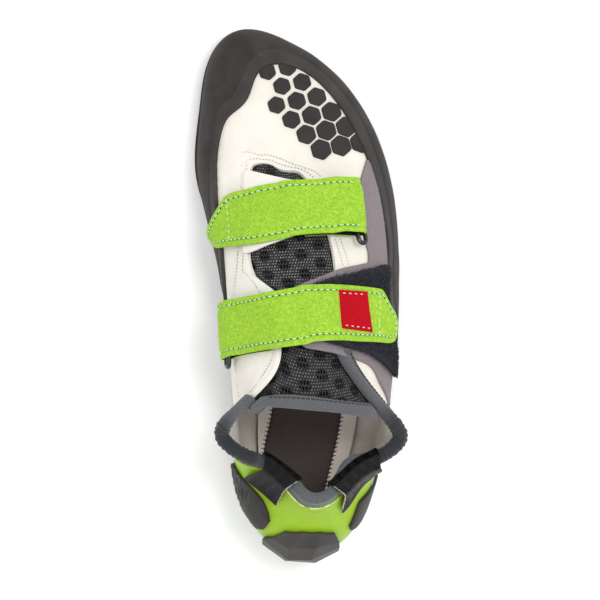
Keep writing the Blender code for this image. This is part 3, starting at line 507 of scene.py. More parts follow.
def ripples(points, size, seed, count=28):
    """Soft random waves of about the given size, mostly between -1 and 1: a sum of plane waves with random
    directions, lengths and phases, drawn from a seed."""
    draw = np.random.default_rng(seed)
    waves = unit(draw.normal(size=(count, 3))) * draw.uniform(0.6, 1.6, (count, 1)) * 2 * math.pi / size
    phases = draw.uniform(0, 2 * math.pi, count)
    return np.cos(points @ waves.T + phases).sum(-1) / math.sqrt(count)


print("helpers ready; spread(5) is", np.round(spread(5), 3))

# %% [markdown]
# ## Finishes
# Every finish has a Principled shader of its own, and takes its grain, nap or weave from a few shared
# node groups. A group puts out only masks, values and heights. A tiny builder keeps the node code
# short: it makes a node, then links or sets each of its inputs by name or place.

# %% A node builder and the shared groups
def srgb(code):
    """A hex colour as the linear values that a shader works with."""
    parts = [int(code[i : i + 2], 16) / 255 for i in (1, 3, 5)]
    return tuple(p / 12.92 if p <= 0.04045 else ((p + 0.055) / 1.055) ** 2.4 for p in parts) + (1.0,)


class Net:
    """Makes nodes in one tree and joins them."""

    def __init__(self, tree):
        self.tree = tree

    def put(self, target, value):
        """Link a socket to an input, or set the input to a number, a vector or a hex colour."""
        if isinstance(value, bpy.types.NodeSocket):
            self.tree.links.new(value, target)
        elif value is not None:
            target.default_value = srgb(value) if isinstance(value, str) else value

    def node(self, kind, inputs=None, **settings):
        """A node with its settings, and its inputs by name or place."""
        made = self.tree.nodes.new(kind)
        for name, value in settings.items():
            setattr(made, name, value)
        for key, value in (inputs or {}).items():
            self.put(made.inputs[key], value)
        return made

    def math(self, operation, *values):
        """One step of arithmetic."""
        made = self.node("ShaderNodeMath", operation=operation)
        for target, value in zip(made.inputs, values):
            self.put(target, value)
        return made.outputs[0]

    def vector(self, operation, *values, out=0):
        """One step of arithmetic on vectors."""
        made = self.node("ShaderNodeVectorMath", operation=operation)
        for target, value in zip(made.inputs, values):
            self.put(target, value)
        return made.outputs[out]

    def scaled(self, vector, factor):
        """A vector times a number."""
        made = self.node("ShaderNodeVectorMath", {0: vector, "Scale": factor}, operation="SCALE")
        return made.outputs[0]

    def mix(self, factor, a, b):
        """Colour a where the factor is 0, colour b where it is 1."""
        made = self.node("ShaderNodeMix", data_type="RGBA")
        for key, value in ((0, factor), (6, a), (7, b)):
            self.put(made.inputs[key], value)
        return made.outputs[2]

    def range(self, value, low, high, to_low=0.0, to_high=1.0):
        """A value carried straight from one span to another and held at its ends."""
        keys = ("Value", "From Min", "From Max", "To Min", "To Max")
        inputs = dict(zip(keys, (value, low, high, to_low, to_high)))
        return self.node("ShaderNodeMapRange", inputs).outputs[0]

    def noise(self, vector, scale, detail=3.0, rough=0.55):
        """Cloudy noise between 0 and 1."""
        inputs = {"Vector": vector, "Scale": scale, "Detail": detail, "Roughness": rough}
        return self.node("ShaderNodeTexNoise", inputs).outputs[0]


def group(name, inputs, outputs, build):
    """A shared node group: named inputs with start values, named outputs, filled by build(net, inputs)."""
    tree = bpy.data.node_groups.new(name, "ShaderNodeTree")
    for label, kind, value in inputs:
        made = tree.interface.new_socket(name=label, in_out="INPUT", socket_type="NodeSocket" + kind)
        if value is not None:
            made.default_value = value
    for label in outputs:
        tree.interface.new_socket(name=label, in_out="OUTPUT", socket_type="NodeSocketFloat")
    entry, leave = tree.nodes.new("NodeGroupInput"), tree.nodes.new("NodeGroupOutput")
    net = Net(tree)
    for label, socket in build(net, entry.outputs).items():
        net.put(leave.inputs[label], socket)
    return tree


def grain_nodes(net, given):
    """Pebbled grain: cell noise for the pores and finer noise over it, with slow patches for tone."""
    cells = net.node("ShaderNodeTexVoronoi", {"Vector": given["Vector"], "Scale": given["Scale"]})
    fine = net.noise(given["Vector"], net.math("MULTIPLY", given["Scale"], 3.1), 4)
    patches = net.noise(given["Vector"], net.math("MULTIPLY", given["Scale"], 0.03), 3)
    pores, dust = net.math("MULTIPLY", cells.outputs["Distance"], 0.6), net.math("MULTIPLY", fine, 0.4)
    return {"Height": net.math("ADD", pores, dust), "Patches": patches}


def nap_nodes(net, given):
    """Suede: short fibres seen as stretched noise at two angles, with clumps of lighter and darker nap."""
    place = given["Vector"]
    squeezed = net.node("ShaderNodeMapping", {"Vector": place, "Scale": (1.0, 0.35, 1.0)})
    turn = {"Vector": place, "Rotation": (0.3, 0.2, 1.2), "Scale": (0.4, 1.0, 1.0)}
    tilted = net.node("ShaderNodeMapping", turn)
    first = net.noise(squeezed.outputs[0], given["Scale"], 4, 0.7)
    second = net.noise(tilted.outputs[0], net.math("MULTIPLY", given["Scale"], 0.8), 4, 0.7)
    fibres = net.math("MULTIPLY", net.math("ADD", first, second), 0.5)
    clumps = net.noise(given["Vector"], net.math("MULTIPLY", given["Scale"], 0.22), 4, 0.6)
    return {"Fibres": fibres, "Clumps": clumps}


def weave_nodes(net, given):
    """Plain weave on UV: two crossed cosine waves, one over and one under in turn, with a hairy breakup."""
    counted = net.scaled(given["Vector"], given["Threads per metre"])
    apart = net.node("ShaderNodeSeparateXYZ", {0: counted})
    warp = net.math("COSINE", net.math("MULTIPLY", apart.outputs[0], math.pi))
    weft = net.math("COSINE", net.math("MULTIPLY", apart.outputs[1], math.pi))
    height = net.math("ABSOLUTE", net.math("MULTIPLY", warp, weft))
    hairs = net.noise(counted, 0.9, 4, 0.7)
    return {"Height": height, "Hairs": hairs}


def dots_nodes(net, given):
    """Distance to the nearest of a field of points in staggered rows, as a share of their pitch."""
    tall = math.sqrt(3)
    scaled = net.scaled(given["Vector"], given["Dots per metre"])
    found = []
    for shift in ((0.0, 0.0, 0.0), (0.5, tall / 2, 0.0)):
        moved = net.vector("ADD", scaled, shift)
        wrapped = net.vector("WRAP", moved, (0.5, tall / 2, 0.5), (-0.5, -tall / 2, -0.5))
        flat = net.vector("MULTIPLY", wrapped, (1.0, 1.0, 0.0))
        found.append(net.vector("LENGTH", flat, out=1))
    return {"Distance": net.math("MINIMUM", *found)}


VECTOR = ("Vector", "Vector", None)
GRAIN = group("grain", [VECTOR, ("Scale", "Float", 900.0)], ["Height", "Patches"], grain_nodes)
NAP = group("nap", [VECTOR, ("Scale", "Float", 1500.0)], ["Fibres", "Clumps"], nap_nodes)
THREADS, PITCH = ("Threads per metre", "Float", 1800.0), ("Dots per metre", "Float", 800.0)
WEAVE = group("weave", [VECTOR, THREADS], ["Height", "Hairs"], weave_nodes)
DOTS = group("staggered_dots", [VECTOR, PITCH], ["Distance"], dots_nodes)
print("shared groups:", [g.name for g in bpy.data.node_groups])

# %% [markdown]
# A material starts from one function: it makes the Principled shader, sets the values that are the
# same all over, and hands out the net, the object coordinates and the UV. What changes over the
# surface is then joined to Base Color, Roughness and a Bump node.

# %% Starting a finish
def start_finish(name, roughness, sheen=0.0, coat=0.0, metallic=0.0, specular=0.5, sheen_tint=None):
    """A material with its Principled shader, and the sockets that its patterns start from."""
    made = bpy.data.materials.new(name)
    made.use_nodes = True
    net = Net(made.node_tree)
    shader = made.node_tree.nodes["Principled BSDF"]
    shader.inputs["Roughness"].default_value = roughness
    shader.inputs["Metallic"].default_value = metallic
    shader.inputs["Specular IOR Level"].default_value = specular
    shader.inputs["Sheen Weight"].default_value = sheen
    shader.inputs["Sheen Roughness"].default_value = 0.4
    if sheen_tint:
        shader.inputs["Sheen Tint"].default_value = sheen_tint
    shader.inputs["Coat Weight"].default_value = coat
    shader.inputs["Coat Roughness"].default_value = 0.25
    coordinates = net.node("ShaderNodeTexCoord").outputs
    return made, net, shader.inputs, coordinates["Object"], coordinates["UV"]


def use_group(net, tree, vector, **values):
    """A shared group placed in a material with its own values."""
    made = net.node("ShaderNodeGroup", node_tree=tree)
    net.put(made.inputs["Vector"], vector)
    for label, value in values.items():
        net.put(made.inputs[label.replace("_", " ")], value)
    return made.outputs


def bump(net, height, strength, depth):
    """A Bump node whose height is in units of depth metres."""
    inputs = {"Height": height, "Strength": strength, "Distance": depth}
    return net.node("ShaderNodeBump", inputs).outputs[0]


def mark_of(net, label):
    """A value that was stored at the mesh's points."""
    return net.node("ShaderNodeAttribute", attribute_name=label).outputs["Fac"]


print("a finish starts with", start_finish("trial", 0.5)[0].name)
bpy.data.materials.remove(bpy.data.materials["trial"])

# %% [markdown]
# White microfibre looks like smooth leather: a warm white, tiny pores, faint creases and a trace of
# grey where fingers have pulled at it. Fine pores come from the grain group and the creases are
# already in the mesh.

# %% Leather and lining finishes
def white_leather():
    """Two near whites in slow patches, with roughness and bump from the pores."""
    made, net, into, place, _ = start_finish("white_leather", 0.52, sheen=0.08)
    grain = use_group(net, GRAIN, place, Scale=1300.0)
    tone = net.range(grain["Patches"], 0.35, 0.65)
    net.put(into["Base Color"], net.mix(tone, "#ECE8DF", "#E2DDD2"))
    net.put(into["Roughness"], net.range(grain["Height"], 0.2, 0.8, 0.46, 0.60))
    net.put(into["Normal"], bump(net, grain["Height"], 0.35, 0.00018))
    return made


def lining_cloth():
    """The leather's mix with a finer grain and no shine."""
    made, net, into, place, _ = start_finish("lining_cloth", 0.9, sheen=0.25)
    grain = use_group(net, GRAIN, place, Scale=1700.0)
    tone = net.range(grain["Patches"], 0.35, 0.65)
    net.put(into["Base Color"], net.mix(tone, "#FBF4EA", "#EFE7DC"))
    net.put(into["Normal"], bump(net, grain["Height"], 0.5, 0.00025))
    return made


WHITE_LEATHER, LINING = white_leather(), lining_cloth()
print("finishes:", WHITE_LEATHER.name, LINING.name)

# %% [markdown]
# Climbing rubber is matt and near black, with a fine dusty bloom. The step between the toe cap and
# the band round it is a step in the mesh. The green heel is moulded rubber: smoother, with a soft
# shine.

# %% Rubber finishes
def sheet_rubber(name, dark, light, roughness, shine=0.0):
    """Dark to light by dust plus half the slow patches; the dust is also a little rougher."""
    made, net, into, place, _ = start_finish(name, roughness, coat=shine, specular=0.28)
    grain = use_group(net, GRAIN, place, Scale=2200.0)
    dust = net.noise(place, 90.0, 5, 0.65)
    tone = net.range(net.math("ADD", dust, net.math("MULTIPLY", grain["Patches"], 0.5)), 0.55, 0.95)
    net.put(into["Base Color"], net.mix(tone, dark, light))
    net.put(into["Roughness"], net.range(dust, 0.3, 0.7, roughness - 0.06, roughness + 0.08))
    net.put(into["Normal"], bump(net, grain["Height"], 0.3, 0.00012))
    return made


SOLE_RUBBER = sheet_rubber("sole_rubber", "#2F2C2B", "#3D3A38", 0.7)
LIME_RUBBER = sheet_rubber("lime_rubber", "#89AF1A", "#97BC24", 0.42, shine=0.06)
INSET_RUBBER = sheet_rubber("inset_rubber", "#2A2827", "#373433", 0.5)
PAD_RUBBER = sheet_rubber("pad_rubber", "#353231", "#413E3C", 0.48)
print("rubbers:", [m.name for m in bpy.data.materials if "rubber" in m.name])

# %% [markdown]
# Suede scatters light from thousands of fibre ends. Noise stretched two ways gives the speckle, and a
# sheen gives the soft edge light. The grey overlay is the same skin with a finer nap.

# %% Suede and pile finishes
def suede(name, dark, light, glow, scale, contrast=1.0):
    """Dark to light by the fibres, sharper with more contrast, then partly towards glow in the clumps."""
    made, net, into, place, _ = start_finish(name, 0.92, sheen=0.35, specular=0.2, sheen_tint=srgb(light))
    nap = use_group(net, NAP, place, Scale=scale)
    fibres = net.range(nap["Fibres"], 0.5 - 0.16 / contrast, 0.5 + 0.16 / contrast)
    clumps = net.range(nap["Clumps"], 0.46, 0.70)
    base = net.mix(fibres, dark, light)
    net.put(into["Base Color"], net.mix(net.math("MULTIPLY", clumps, 0.55), base, glow))
    net.put(into["Normal"], bump(net, nap["Fibres"], 0.7, 0.0004))
    return made


LIME_SUEDE = suede("lime_suede", "#72A120", "#A8D747", "#BEDD40", 2300.0, contrast=1.4)
GREY_SUEDE = suede("grey_suede", "#736A6D", "#948A8D", "#8A8083", 2600.0)
NAVY_PILE = suede("navy_pile", "#17181C", "#454850", "#262930", 1700.0, contrast=1.5)
HOOK_TAPE = suede("hook_tape", "#0B0B0C", "#1D1D1F", "#141415", 2600.0)
print("suedes and pile ready")

# %% [markdown]
# The tongue's mesh is knitted in three depths. Fine open stitches show as light dots on near black,
# which are painted glints on the thread and are dimmer towards the rear. Round dents, where the knit
# pulls through to its back, show larger and darker holes, with a painted shade line round them. The
# dents are in the mesh too: the same staggered field is worked out in numpy for its shape.

# %% Knit, webbing, tape and small finishes
KNIT_PER_METRE = 760.0
DENT_PITCH = 0.0102


def knitted_mesh():
    """Painted thread glints as light dots on near black outside the dents, dark holes within them and a
    painted shade line round them. The mesh marks the dents, and the rear, where the painted glints are
    dimmer."""
    made, net, into, _, uv = start_finish("knitted_mesh", 0.85, sheen=0.05, specular=0.15)
    dent = mark_of(net, "dent")
    squeezed = net.vector("MULTIPLY", uv, (1.0, 0.75, 1.0))
    dots = use_group(net, DOTS, squeezed, Dots_per_metre=KNIT_PER_METRE)["Distance"]
    stretched = net.vector("MULTIPLY", uv, (1.0, 0.48, 1.0))
    holes = use_group(net, DOTS, stretched, Dots_per_metre=KNIT_PER_METRE * 0.88)["Distance"]
    # glints: painted highlights on the knit's threads
    glints = net.range(dots, 0.30, 0.16)
    breakup = net.noise(uv, 900.0, 3)
    glints = net.math("MULTIPLY", glints, net.range(breakup, 0.35, 0.6))
    # the painted glints fade towards the tongue's rear
    glints = net.math("MULTIPLY", glints, net.range(mark_of(net, "rear_glint_fade"), 0.0, 1.0, 1.0, 0.45))
    plain = net.mix(glints, "#2B2B2D", "#B4B4B2")
    opened = net.mix(net.range(holes, 0.35, 0.48), "#000000", "#3E3E40")
    # painted shade: a dark ring round each dent
    rim_shade = net.math("MULTIPLY", net.math("SUBTRACT", 1.0, dent), net.range(dent, 0.02, 0.3))
    colour = net.mix(net.math("MULTIPLY", rim_shade, 0.8), net.mix(dent, plain, opened), "#050505")
    net.put(into["Base Color"], colour)
    ridge = net.math("ADD", net.math("MULTIPLY", glints, 0.8), net.math("MULTIPLY", holes, dent))
    net.put(into["Normal"], bump(net, ridge, 0.9, 0.0006))
    return made


def woven(name, dark, light, threads, roughness, sheen=0.2, squeeze=1.0, hair=0.6, specular=0.5):
    """Dark to light by the weave's height, blended with its hairs by the share hair."""
    made, net, into, _, uv = start_finish(name, roughness, sheen=sheen, specular=specular)
    narrowed = net.vector("MULTIPLY", uv, (1.0, squeeze, 1.0))
    weave = use_group(net, WEAVE, narrowed, Threads_per_metre=threads)
    even = net.math("MULTIPLY", weave["Height"], 1 - hair)
    hairy = net.math("MULTIPLY", weave["Hairs"], hair)
    tone = net.math("ADD", even, hairy)
    net.put(into["Base Color"], net.mix(net.range(tone, 0.3, 0.7), dark, light))
    net.put(into["Normal"], bump(net, tone, 0.7, 0.0003))
    return made


def thread(name, colour, shade):
    """Shade to colour by a very fine noise, which is the twist of the plies."""
    made, net, into, place, _ = start_finish(name, 0.6, sheen=0.2)
    twist = net.noise(place, 5200.0, 2)
    net.put(into["Base Color"], net.mix(twist, shade, colour))
    net.put(into["Normal"], bump(net, twist, 0.5, 0.00012))
    return made


def dark_wire():
    """Blackened steel, lighter and duller where noise marks wear on it."""
    made, net, into, place, _ = start_finish("dark_wire", 0.22, metallic=0.85)
    wear = net.noise(place, 400.0, 4)
    net.put(into["Base Color"], net.mix(wear, "#2C2C2E", "#55555A"))
    net.put(into["Roughness"], net.range(wear, 0.3, 0.7, 0.16, 0.34))
    return made


def binding_cloth():
    """Heather webbing whose gathered stretches, marked on the mesh, are darker."""
    made, net, into, _, uv = start_finish("binding_cloth", 0.88, sheen=0.3)
    weave = use_group(net, WEAVE, uv, Threads_per_metre=2100.0)
    tone = net.range(weave["Hairs"], 0.32, 0.68)
    heather = net.mix(tone, "#303135", "#717377")
    gathered = net.mix(tone, "#17181B", "#34363B")
    net.put(into["Base Color"], net.mix(mark_of(net, "gathered"), heather, gathered))
    height = net.math("ADD", net.math("MULTIPLY", weave["Height"], 0.5), weave["Hairs"])
    net.put(into["Normal"], bump(net, height, 0.6, 0.0003))
    return made


MESH_CLOTH = knitted_mesh()
BINDING = binding_cloth()
SATIN = dict(sheen=0.0, squeeze=0.12, hair=0.3, specular=0.15)
SATIN_TAPE = woven("satin_tape", "#080809", "#161617", 1500.0, 0.45, **SATIN)
LABEL_CLOTH = woven("label_cloth", "#AC0014", "#D80A22", 3600.0, 0.8, sheen=0.0, hair=0.45, specular=0.1)
# the footbed's browns are its own dark brown, darkened further by painted shade from inside the shoe
FOOTBED = woven("footbed_cloth", "#463E3B", "#5E5551", 1300.0, 0.85, hair=0.7)
WIRE = dark_wire()
MINT_THREAD = thread("mint_thread", "#CFF3C4", "#A9DE98")
GREY_THREAD = thread("grey_thread", "#8A8780", "#5F5C57")
# dark thread, also used for the painted shade in the straps' needle holes
DARK_THREAD_AND_HOLE_SHADE = thread("dark_thread_and_hole_shade", "#2A2A2C", "#161617")
PALE_THREAD = thread("pale_thread", "#E6D9D6", "#CDBDBB")
print("materials:", len(bpy.data.materials))

# %% [markdown]
# ## The upper
# One shell of white microfibre, two millimetres thick with its lining, open at the throat and the
# collar. Its flex zone has shallow creases across the ball and small dimples where it was pulled over
# the last. The lining is a second, thinner shell inside it.

# %% The leather shell and its lining
ROUND = 420
CREASE_PITCH, FOLD_PITCH = 0.0052, 0.012
round_turns = np.arange(ROUND)[None, :] / ROUND
LEATHER_WALL = 0.0011


def leather_relief(points, turn, climb):
    """Slow waves all over, with creases across the flex line on the inner side and beside the throat."""
    slow = 0.00012 * ripples(points, 0.030, 3)
    fine = 0.00004 * ripples(points, 0.006, 4)
    inner_flex = np.exp(-(((turn - 0.645) / 0.035) ** 2))
    inner_flex = inner_flex * smooth_step(0.5, 0.7, climb) * smooth_step(1.0, 0.9, climb)
    slanting = points[..., 1] + 0.35 * points[..., 0]
    crease = np.cos(slanting * 2 * math.pi / CREASE_PITCH + ripples(points, 0.02, 5))
    pulled = 0.00020 * inner_flex * np.clip(crease, -0.2, 1)
    rear = smooth_step(0.80, 0.84, turn) * smooth_step(0.90, 0.86, turn) * smooth_step(0.5, 0.8, climb)
    folds = 0.00026 * rear * np.cos(turn * 2 * math.pi / FOLD_PITCH + 2 * ripples(points, 0.03, 6))
    return slow + fine + pulled + folds


low_climbs = np.linspace(0, FULL_CLIMB, 14)[:-1]
high_climbs = FULL_CLIMB + (1 - FULL_CLIMB) * spread(90, 0.35)
climbs = np.concatenate([low_climbs, high_climbs])[:, None]
bare = skin(round_turns, climbs)
swell = leather_relief(bare, round_turns + 0 * climbs, climbs + 0 * round_turns)
swell = swell * smooth_step(1.0, 0.97, climbs)
near_top = (1 - climbs) * 0.05
edge_fall = 0.0004 * (1 - rounded(near_top, 0.0006))
outside = skin(round_turns, climbs, swell - edge_fall)
inside = skin(round_turns, climbs, -LEATHER_WALL + 0 * round_turns + 0 * climbs)
upper = shell("upper_leather", outside, inside, WHITE_LEATHER, ["upper"], ring=True)

lining_out = skin(round_turns, climbs, -LEATHER_WALL - 0.00004 + 0 * round_turns + 0 * climbs)
lining_folds = -UPPER_WALL + 0.0002 * ripples(bare, 0.012, 8) * smooth_step(1.0, 0.9, climbs)
lining_in = skin(round_turns, climbs, lining_folds)
lining = shell("upper_lining", lining_out, lining_in, LINING, ring=True)
print("upper:", len(upper.data.vertices), "points; lining:", len(lining.data.vertices))

# %% [markdown]
# ## Soles
# The outsole is a flat sheet of rubber cut to the last's edge. Its section is a rounded rectangle,
# carried from heel to toe over the rocker of heel, arch and toe. The footbed inside is the same plate,
# drawn in by the wall, with the board's darker middle and the lining's margin either side.

# %% Outsole and footbed
OUTSOLE_MARGIN = 0.0036
PLATE_END = 0.0003


def plate_edges(margin, count):
    """Stations from heel to toe, with the inner and outer x of the plate at each."""
    edge = foot_of(np.linspace(0, 1, 1441)[:-1], margin)
    tip, heel = edge[:, 1].argmax(), edge[:, 1].argmin()
    edge = np.roll(edge, -heel, 0)
    tip = (tip - heel) % len(edge)
    outer_side, inner_side = edge[: tip + 1], np.concatenate([edge[tip:], edge[:1]])[::-1]
    start, end = edge[0, 1] + PLATE_END, edge[tip, 1] - PLATE_END
    y = start + (end - start) * (1 - np.cos(np.linspace(0, math.pi, count))) / 2
    left = np.interp(y, inner_side[:, 1], inner_side[:, 0])
    return y, left, np.interp(y, outer_side[:, 1], outer_side[:, 0])


def plate(name, margin, floor, thick, corner, finish, nodes, count=220, across=26):
    """A rounded slab over the rocker: a section that goes over the top and back along the underside."""
    y, left, right = plate_edges(margin, count)
    marks = spread(across, 0.9)
    top = np.stack([marks, np.ones(across)], -1)
    bottom = np.stack([marks[::-1], np.zeros(across)], -1)
    section = np.concatenate([top, bottom])
    x = left[:, None] + (right - left)[:, None] * section[None, :, 0]
    to_edge = np.minimum(x - left[:, None], right[:, None] - x)
    ends = np.minimum(y - y[0], y[-1] - y)[:, None] + 0 * x
    fall = corner * (1 - rounded(np.minimum(to_edge, ends), corner))
    base = floor(y)[:, None]
    z = base + np.where(section[None, :, 1] > 0.5, thick - fall * 0.4, fall)
    points = np.stack([x, y[:, None] + 0 * x, z], -1)
    rows, columns = points.shape[:2]
    quads = grid_quads(rows, columns, ring=True)
    up, down = np.arange(across - 1), 2 * across - 1 - np.arange(across - 1)
    cap = np.stack([up, up + 1, down - 1, down], -1)
    quads = np.concatenate([quads, cap[:, ::-1], cap + (rows - 1) * columns])
    mesh = fill_mesh(name, points, quads, points[..., :2])
    return piece(name, mesh, finish, nodes)


BOARD_MARGIN, BOARD_THICKNESS = -(UPPER_WALL + 2 * GAP), 0.003
plate("outsole_rubber", OUTSOLE_MARGIN, rocker, OUTSOLE_THICKNESS, 0.0011,
      SOLE_RUBBER, ["outsole"])
board = plate("footbed_board", BOARD_MARGIN, seat, BOARD_THICKNESS, 0.0008,
              FOOTBED, ["insole"])
print("footbed:", len(board.data.vertices), "points")

# %% [markdown]
# ## Rubber round the foot
# The rand is one wrapped band whose free edge runs in an S round the big toe. The toe cap over it is
# a second, slightly thicker sheet, so its edge shows as a low step a few millimetres outside the rand's.

# %% Rand with its cap step
RAND_EDGE = [
    # turn, top of the rand, top of the thicker cap
    (0.000, 0.12, 0.07),
    (0.060, 0.12, 0.07),
    (0.120, 0.13, 0.08),
    (0.165, 0.20, 0.13),
    (0.200, 0.34, 0.26),
    (0.222, 0.49, 0.41),
    (0.255, 0.51, 0.44),
    (0.305, 0.515, 0.428),
    (0.350, 0.525, 0.428),
    (0.385, 0.515, 0.415),
    (0.420, 0.50, 0.40),
    (0.447, 0.50, 0.405),
    (0.474, 0.555, 0.455),
    (0.492, 0.63, 0.535),
    (0.505, 0.70, 0.605),
    (0.520, 0.735, 0.655),
    (0.538, 0.73, 0.665),
    (0.558, 0.695, 0.61),
    (0.578, 0.65, 0.56),
    (0.600, 0.625, 0.553),
    (0.632, 0.615, 0.535),
    (0.656, 0.59, 0.49),
    (0.676, 0.545, 0.425),
    (0.705, 0.50, 0.38),
    (0.725, 0.38, 0.28),
    (0.745, 0.25, 0.18),
    (0.780, 0.17, 0.11),
    (0.830, 0.15, 0.09),
    (0.900, 0.13, 0.08),
    (0.950, 0.12, 0.07),
]


def rand_rubber():
    """Two sheets of rubber, dusty and rough on the cap, smoother on the band that the mesh marks."""
    made, net, into, place, _ = start_finish("rand_rubber", 0.6, specular=0.28)
    grain = use_group(net, GRAIN, place, Scale=2200.0)
    dust = net.noise(place, 70.0, 5, 0.7)
    tone = net.range(dust, 0.35, 0.7)
    cap, band = net.mix(tone, "#292524", "#3B3532"), net.mix(tone, "#312E2D", "#3E3B39")
    on_band = mark_of(net, "band")
    net.put(into["Base Color"], net.mix(on_band, cap, band))
    net.put(into["Roughness"], net.range(on_band, 0.0, 1.0, 0.72, 0.58))
    net.put(into["Normal"], bump(net, grain["Height"], 0.35, 0.00013))
    return made


rand_lines = Loop(RAND_EDGE)(round_turns[0])
rand_top, cap_top = rand_lines[None, :, 0], rand_lines[None, :, 1]
below, above = spread(46, 0.55)[:, None], np.linspace(0, 1, 19)[1:, None]
rand_climbs = np.concatenate([below * cap_top, cap_top + (rand_top - cap_top) * above])
band = np.concatenate([0 * below + 0 * cap_top, smooth_step(0.0, 0.17, above) + 0 * cap_top])
shell_lift = GAP + RAND_WALL - 0.0002 + 0.00045 * (1 - band)
edge_away = np.concatenate([0 * below + 0.01 + 0 * cap_top, (1 - above) * (rand_top - cap_top) * 0.06])
shell_lift = shell_lift - 0.0010 * (1 - rounded(edge_away, 0.0008))
rand_outer = skin(round_turns, rand_climbs, shell_lift)
rand_outer = skin(round_turns, rand_climbs, shell_lift + 0.00008 * ripples(rand_outer, 0.02, 11))
rand_inner = skin(round_turns, rand_climbs, GAP * 0.5 + 0 * rand_climbs)
rand = shell("rand_rubber", rand_outer, rand_inner, rand_rubber(), ["rand"], ring=True,
             marks={"band": band})
print("rand:", len(rand.data.polygons), "faces")

# %% [markdown]
# The toe's top is covered with rubber cells for hooking. Here they are plain rounded hexagons in a
# honeycomb that shrink towards the inner side. To set them out evenly, their centres are chosen in
# plan and moved onto the last with Newton's method.

# %% Honeycomb of rubber cells on the toe
CELL_PITCH = 0.0100
CELL_WALL = 0.0010
CELL_TURN = math.radians(14)
CELL_ZONE_TURN = (0.350, 0.487)
CELL_TOP = [
    # turn, highest climb of a cell's centre
    (0.350, 0.74),
    (0.372, 0.80),
    (0.395, 0.855),
    (0.430, 0.855),
    (0.455, 0.81),
    (0.472, 0.74),
    (0.490, 0.62),
]


def wall_under(plan, turn, climb):
    """Turn and climb whose point on the last lies at a plan position: eight Newton steps from a start, each
    solved from the two slopes by Cramer's rule."""
    tiny = 1e-4
    for _ in range(8):
        here = bare_skin(turn, climb)[..., :2]
        by_turn = (bare_skin(turn + tiny, climb)[..., :2] - here) / tiny
        by_climb = (bare_skin(turn, climb + tiny)[..., :2] - here) / tiny
        miss = plan - here
        size = by_turn[..., 0] * by_climb[..., 1] - by_turn[..., 1] * by_climb[..., 0]
        more_turn = (miss[..., 0] * by_climb[..., 1] - miss[..., 1] * by_climb[..., 0]) / size
        more_climb = (by_turn[..., 0] * miss[..., 1] - by_turn[..., 1] * miss[..., 0]) / size
        turn = turn + np.clip(more_turn, -0.03, 0.03)
        climb = np.clip(climb + np.clip(more_climb, -0.2, 0.2), 0.3, 0.97)
    return turn, climb


def cell_centres():
    """The turn, climb and plan place of every cell whose middle lands inside the zone."""
    steps = np.arange(-8, 9)
    column, row = [a.ravel() for a in np.meshgrid(steps, steps)]
    flat = np.stack([column + 0.5 * (row % 2), row * math.sqrt(3) / 2], -1) * CELL_PITCH
    cosine, sine = math.cos(CELL_TURN), math.sin(CELL_TURN)
    spin = np.array([[cosine, sine], [-sine, cosine]])
    middle = bare_skin(0.415, 0.70)[:2]
    centres = middle + flat @ spin
    centres = centres[np.linalg.norm(centres - middle, axis=-1) < 0.034]
    turn, climb = wall_under(centres, np.full(len(centres), 0.415), np.full(len(centres), 0.7))
    landed = np.linalg.norm(bare_skin(turn, climb)[..., :2] - centres, axis=-1) < 0.0005
    inside = (turn > CELL_ZONE_TURN[0]) & (turn < CELL_ZONE_TURN[1]) & landed
    inside &= (climb > 0.47) & (climb < through(CELL_TOP, turn)[:, 0])
    return turn[inside], climb[inside], centres[inside]


def hexagon(angle):
    """The reach of a hexagon with soft corners at an angle: a power mean of six half planes' distances."""
    faces = angle[:, None] - (np.arange(6) / 6 * 2 * math.pi + CELL_TURN)[None, :]
    return (np.clip(np.cos(faces), 0, None) ** 16).sum(-1) ** (-1 / 16) * math.cos(math.pi / 6)


def toe_cells():
    """Every cell as rings of points, from its middle out and down to its foot, on the toe's wall."""
    turn, climb, centres = cell_centres()
    radius = CELL_PITCH * (0.545 - 0.10 * smooth_step(*CELL_ZONE_TURN, turn))
    angle = np.arange(48) / 48 * 2 * math.pi
    rings = np.array([0.02, 0.35, 0.7, 0.88, 0.95, 0.985, 1.0, 1.0])
    rises = np.array([1.0, 1.0, 1.0, 0.98, 0.90, 0.72, 0.45, -0.25])
    reach = radius[:, None, None] * hexagon(angle)[None, None, :] * rings[None, :, None]
    plan = centres[:, None, None] + reach[..., None] * np.stack([np.cos(angle), np.sin(angle)], -1)
    start = np.ones_like(reach)
    turns, levels = wall_under(plan, turn[:, None, None] * start, climb[:, None, None] * start)
    points = skin(turns, levels, GAP * 0.2 + CELL_WALL * rises[None, :, None] + 0 * turns)
    count, rows, columns = reach.shape
    first = (np.arange(count) * rows * columns)[:, None, None]
    walls = (grid_quads(rows, columns, ring=True)[None] + first).reshape(-1, 4)
    fan = np.arange(0, columns, 2)
    tops = np.stack([fan * 0, fan, (fan + 1) % columns, (fan + 2) % columns], -1)[1:-1]
    quads = np.concatenate([walls, (tops[None] + first).reshape(-1, 4)])
    return fill_mesh("toe_cells", points, quads[:, ::-1]), count


cells_mesh, cell_count = toe_cells()
CELL_RUBBER = sheet_rubber("cell_rubber", "#262322", "#332F2D", 0.6)
piece("toe_cells", cells_mesh, CELL_RUBBER, ["toe_patch"])
print("honeycomb cells:", cell_count)

# %% [markdown]
# ## Tongue
# The tongue is spacer mesh: knit on both faces with springy thread between. It lies below the
# throat's edges, is tucked under the vamp at the front, and its round dents press in by just under
# a millimetre.

# %% Mesh tongue
TUCK_NARROWING, TUCK_CLIMB = 0.03, 0.10
TONGUE_WALL, TONGUE_CLEARANCE, TONGUE_REAR = 0.0028, 0.0004, 0.985
BINDING_EASE = 0.0003
DENT_DEPTH, DENT_RADIUS = 0.0008, 0.0032


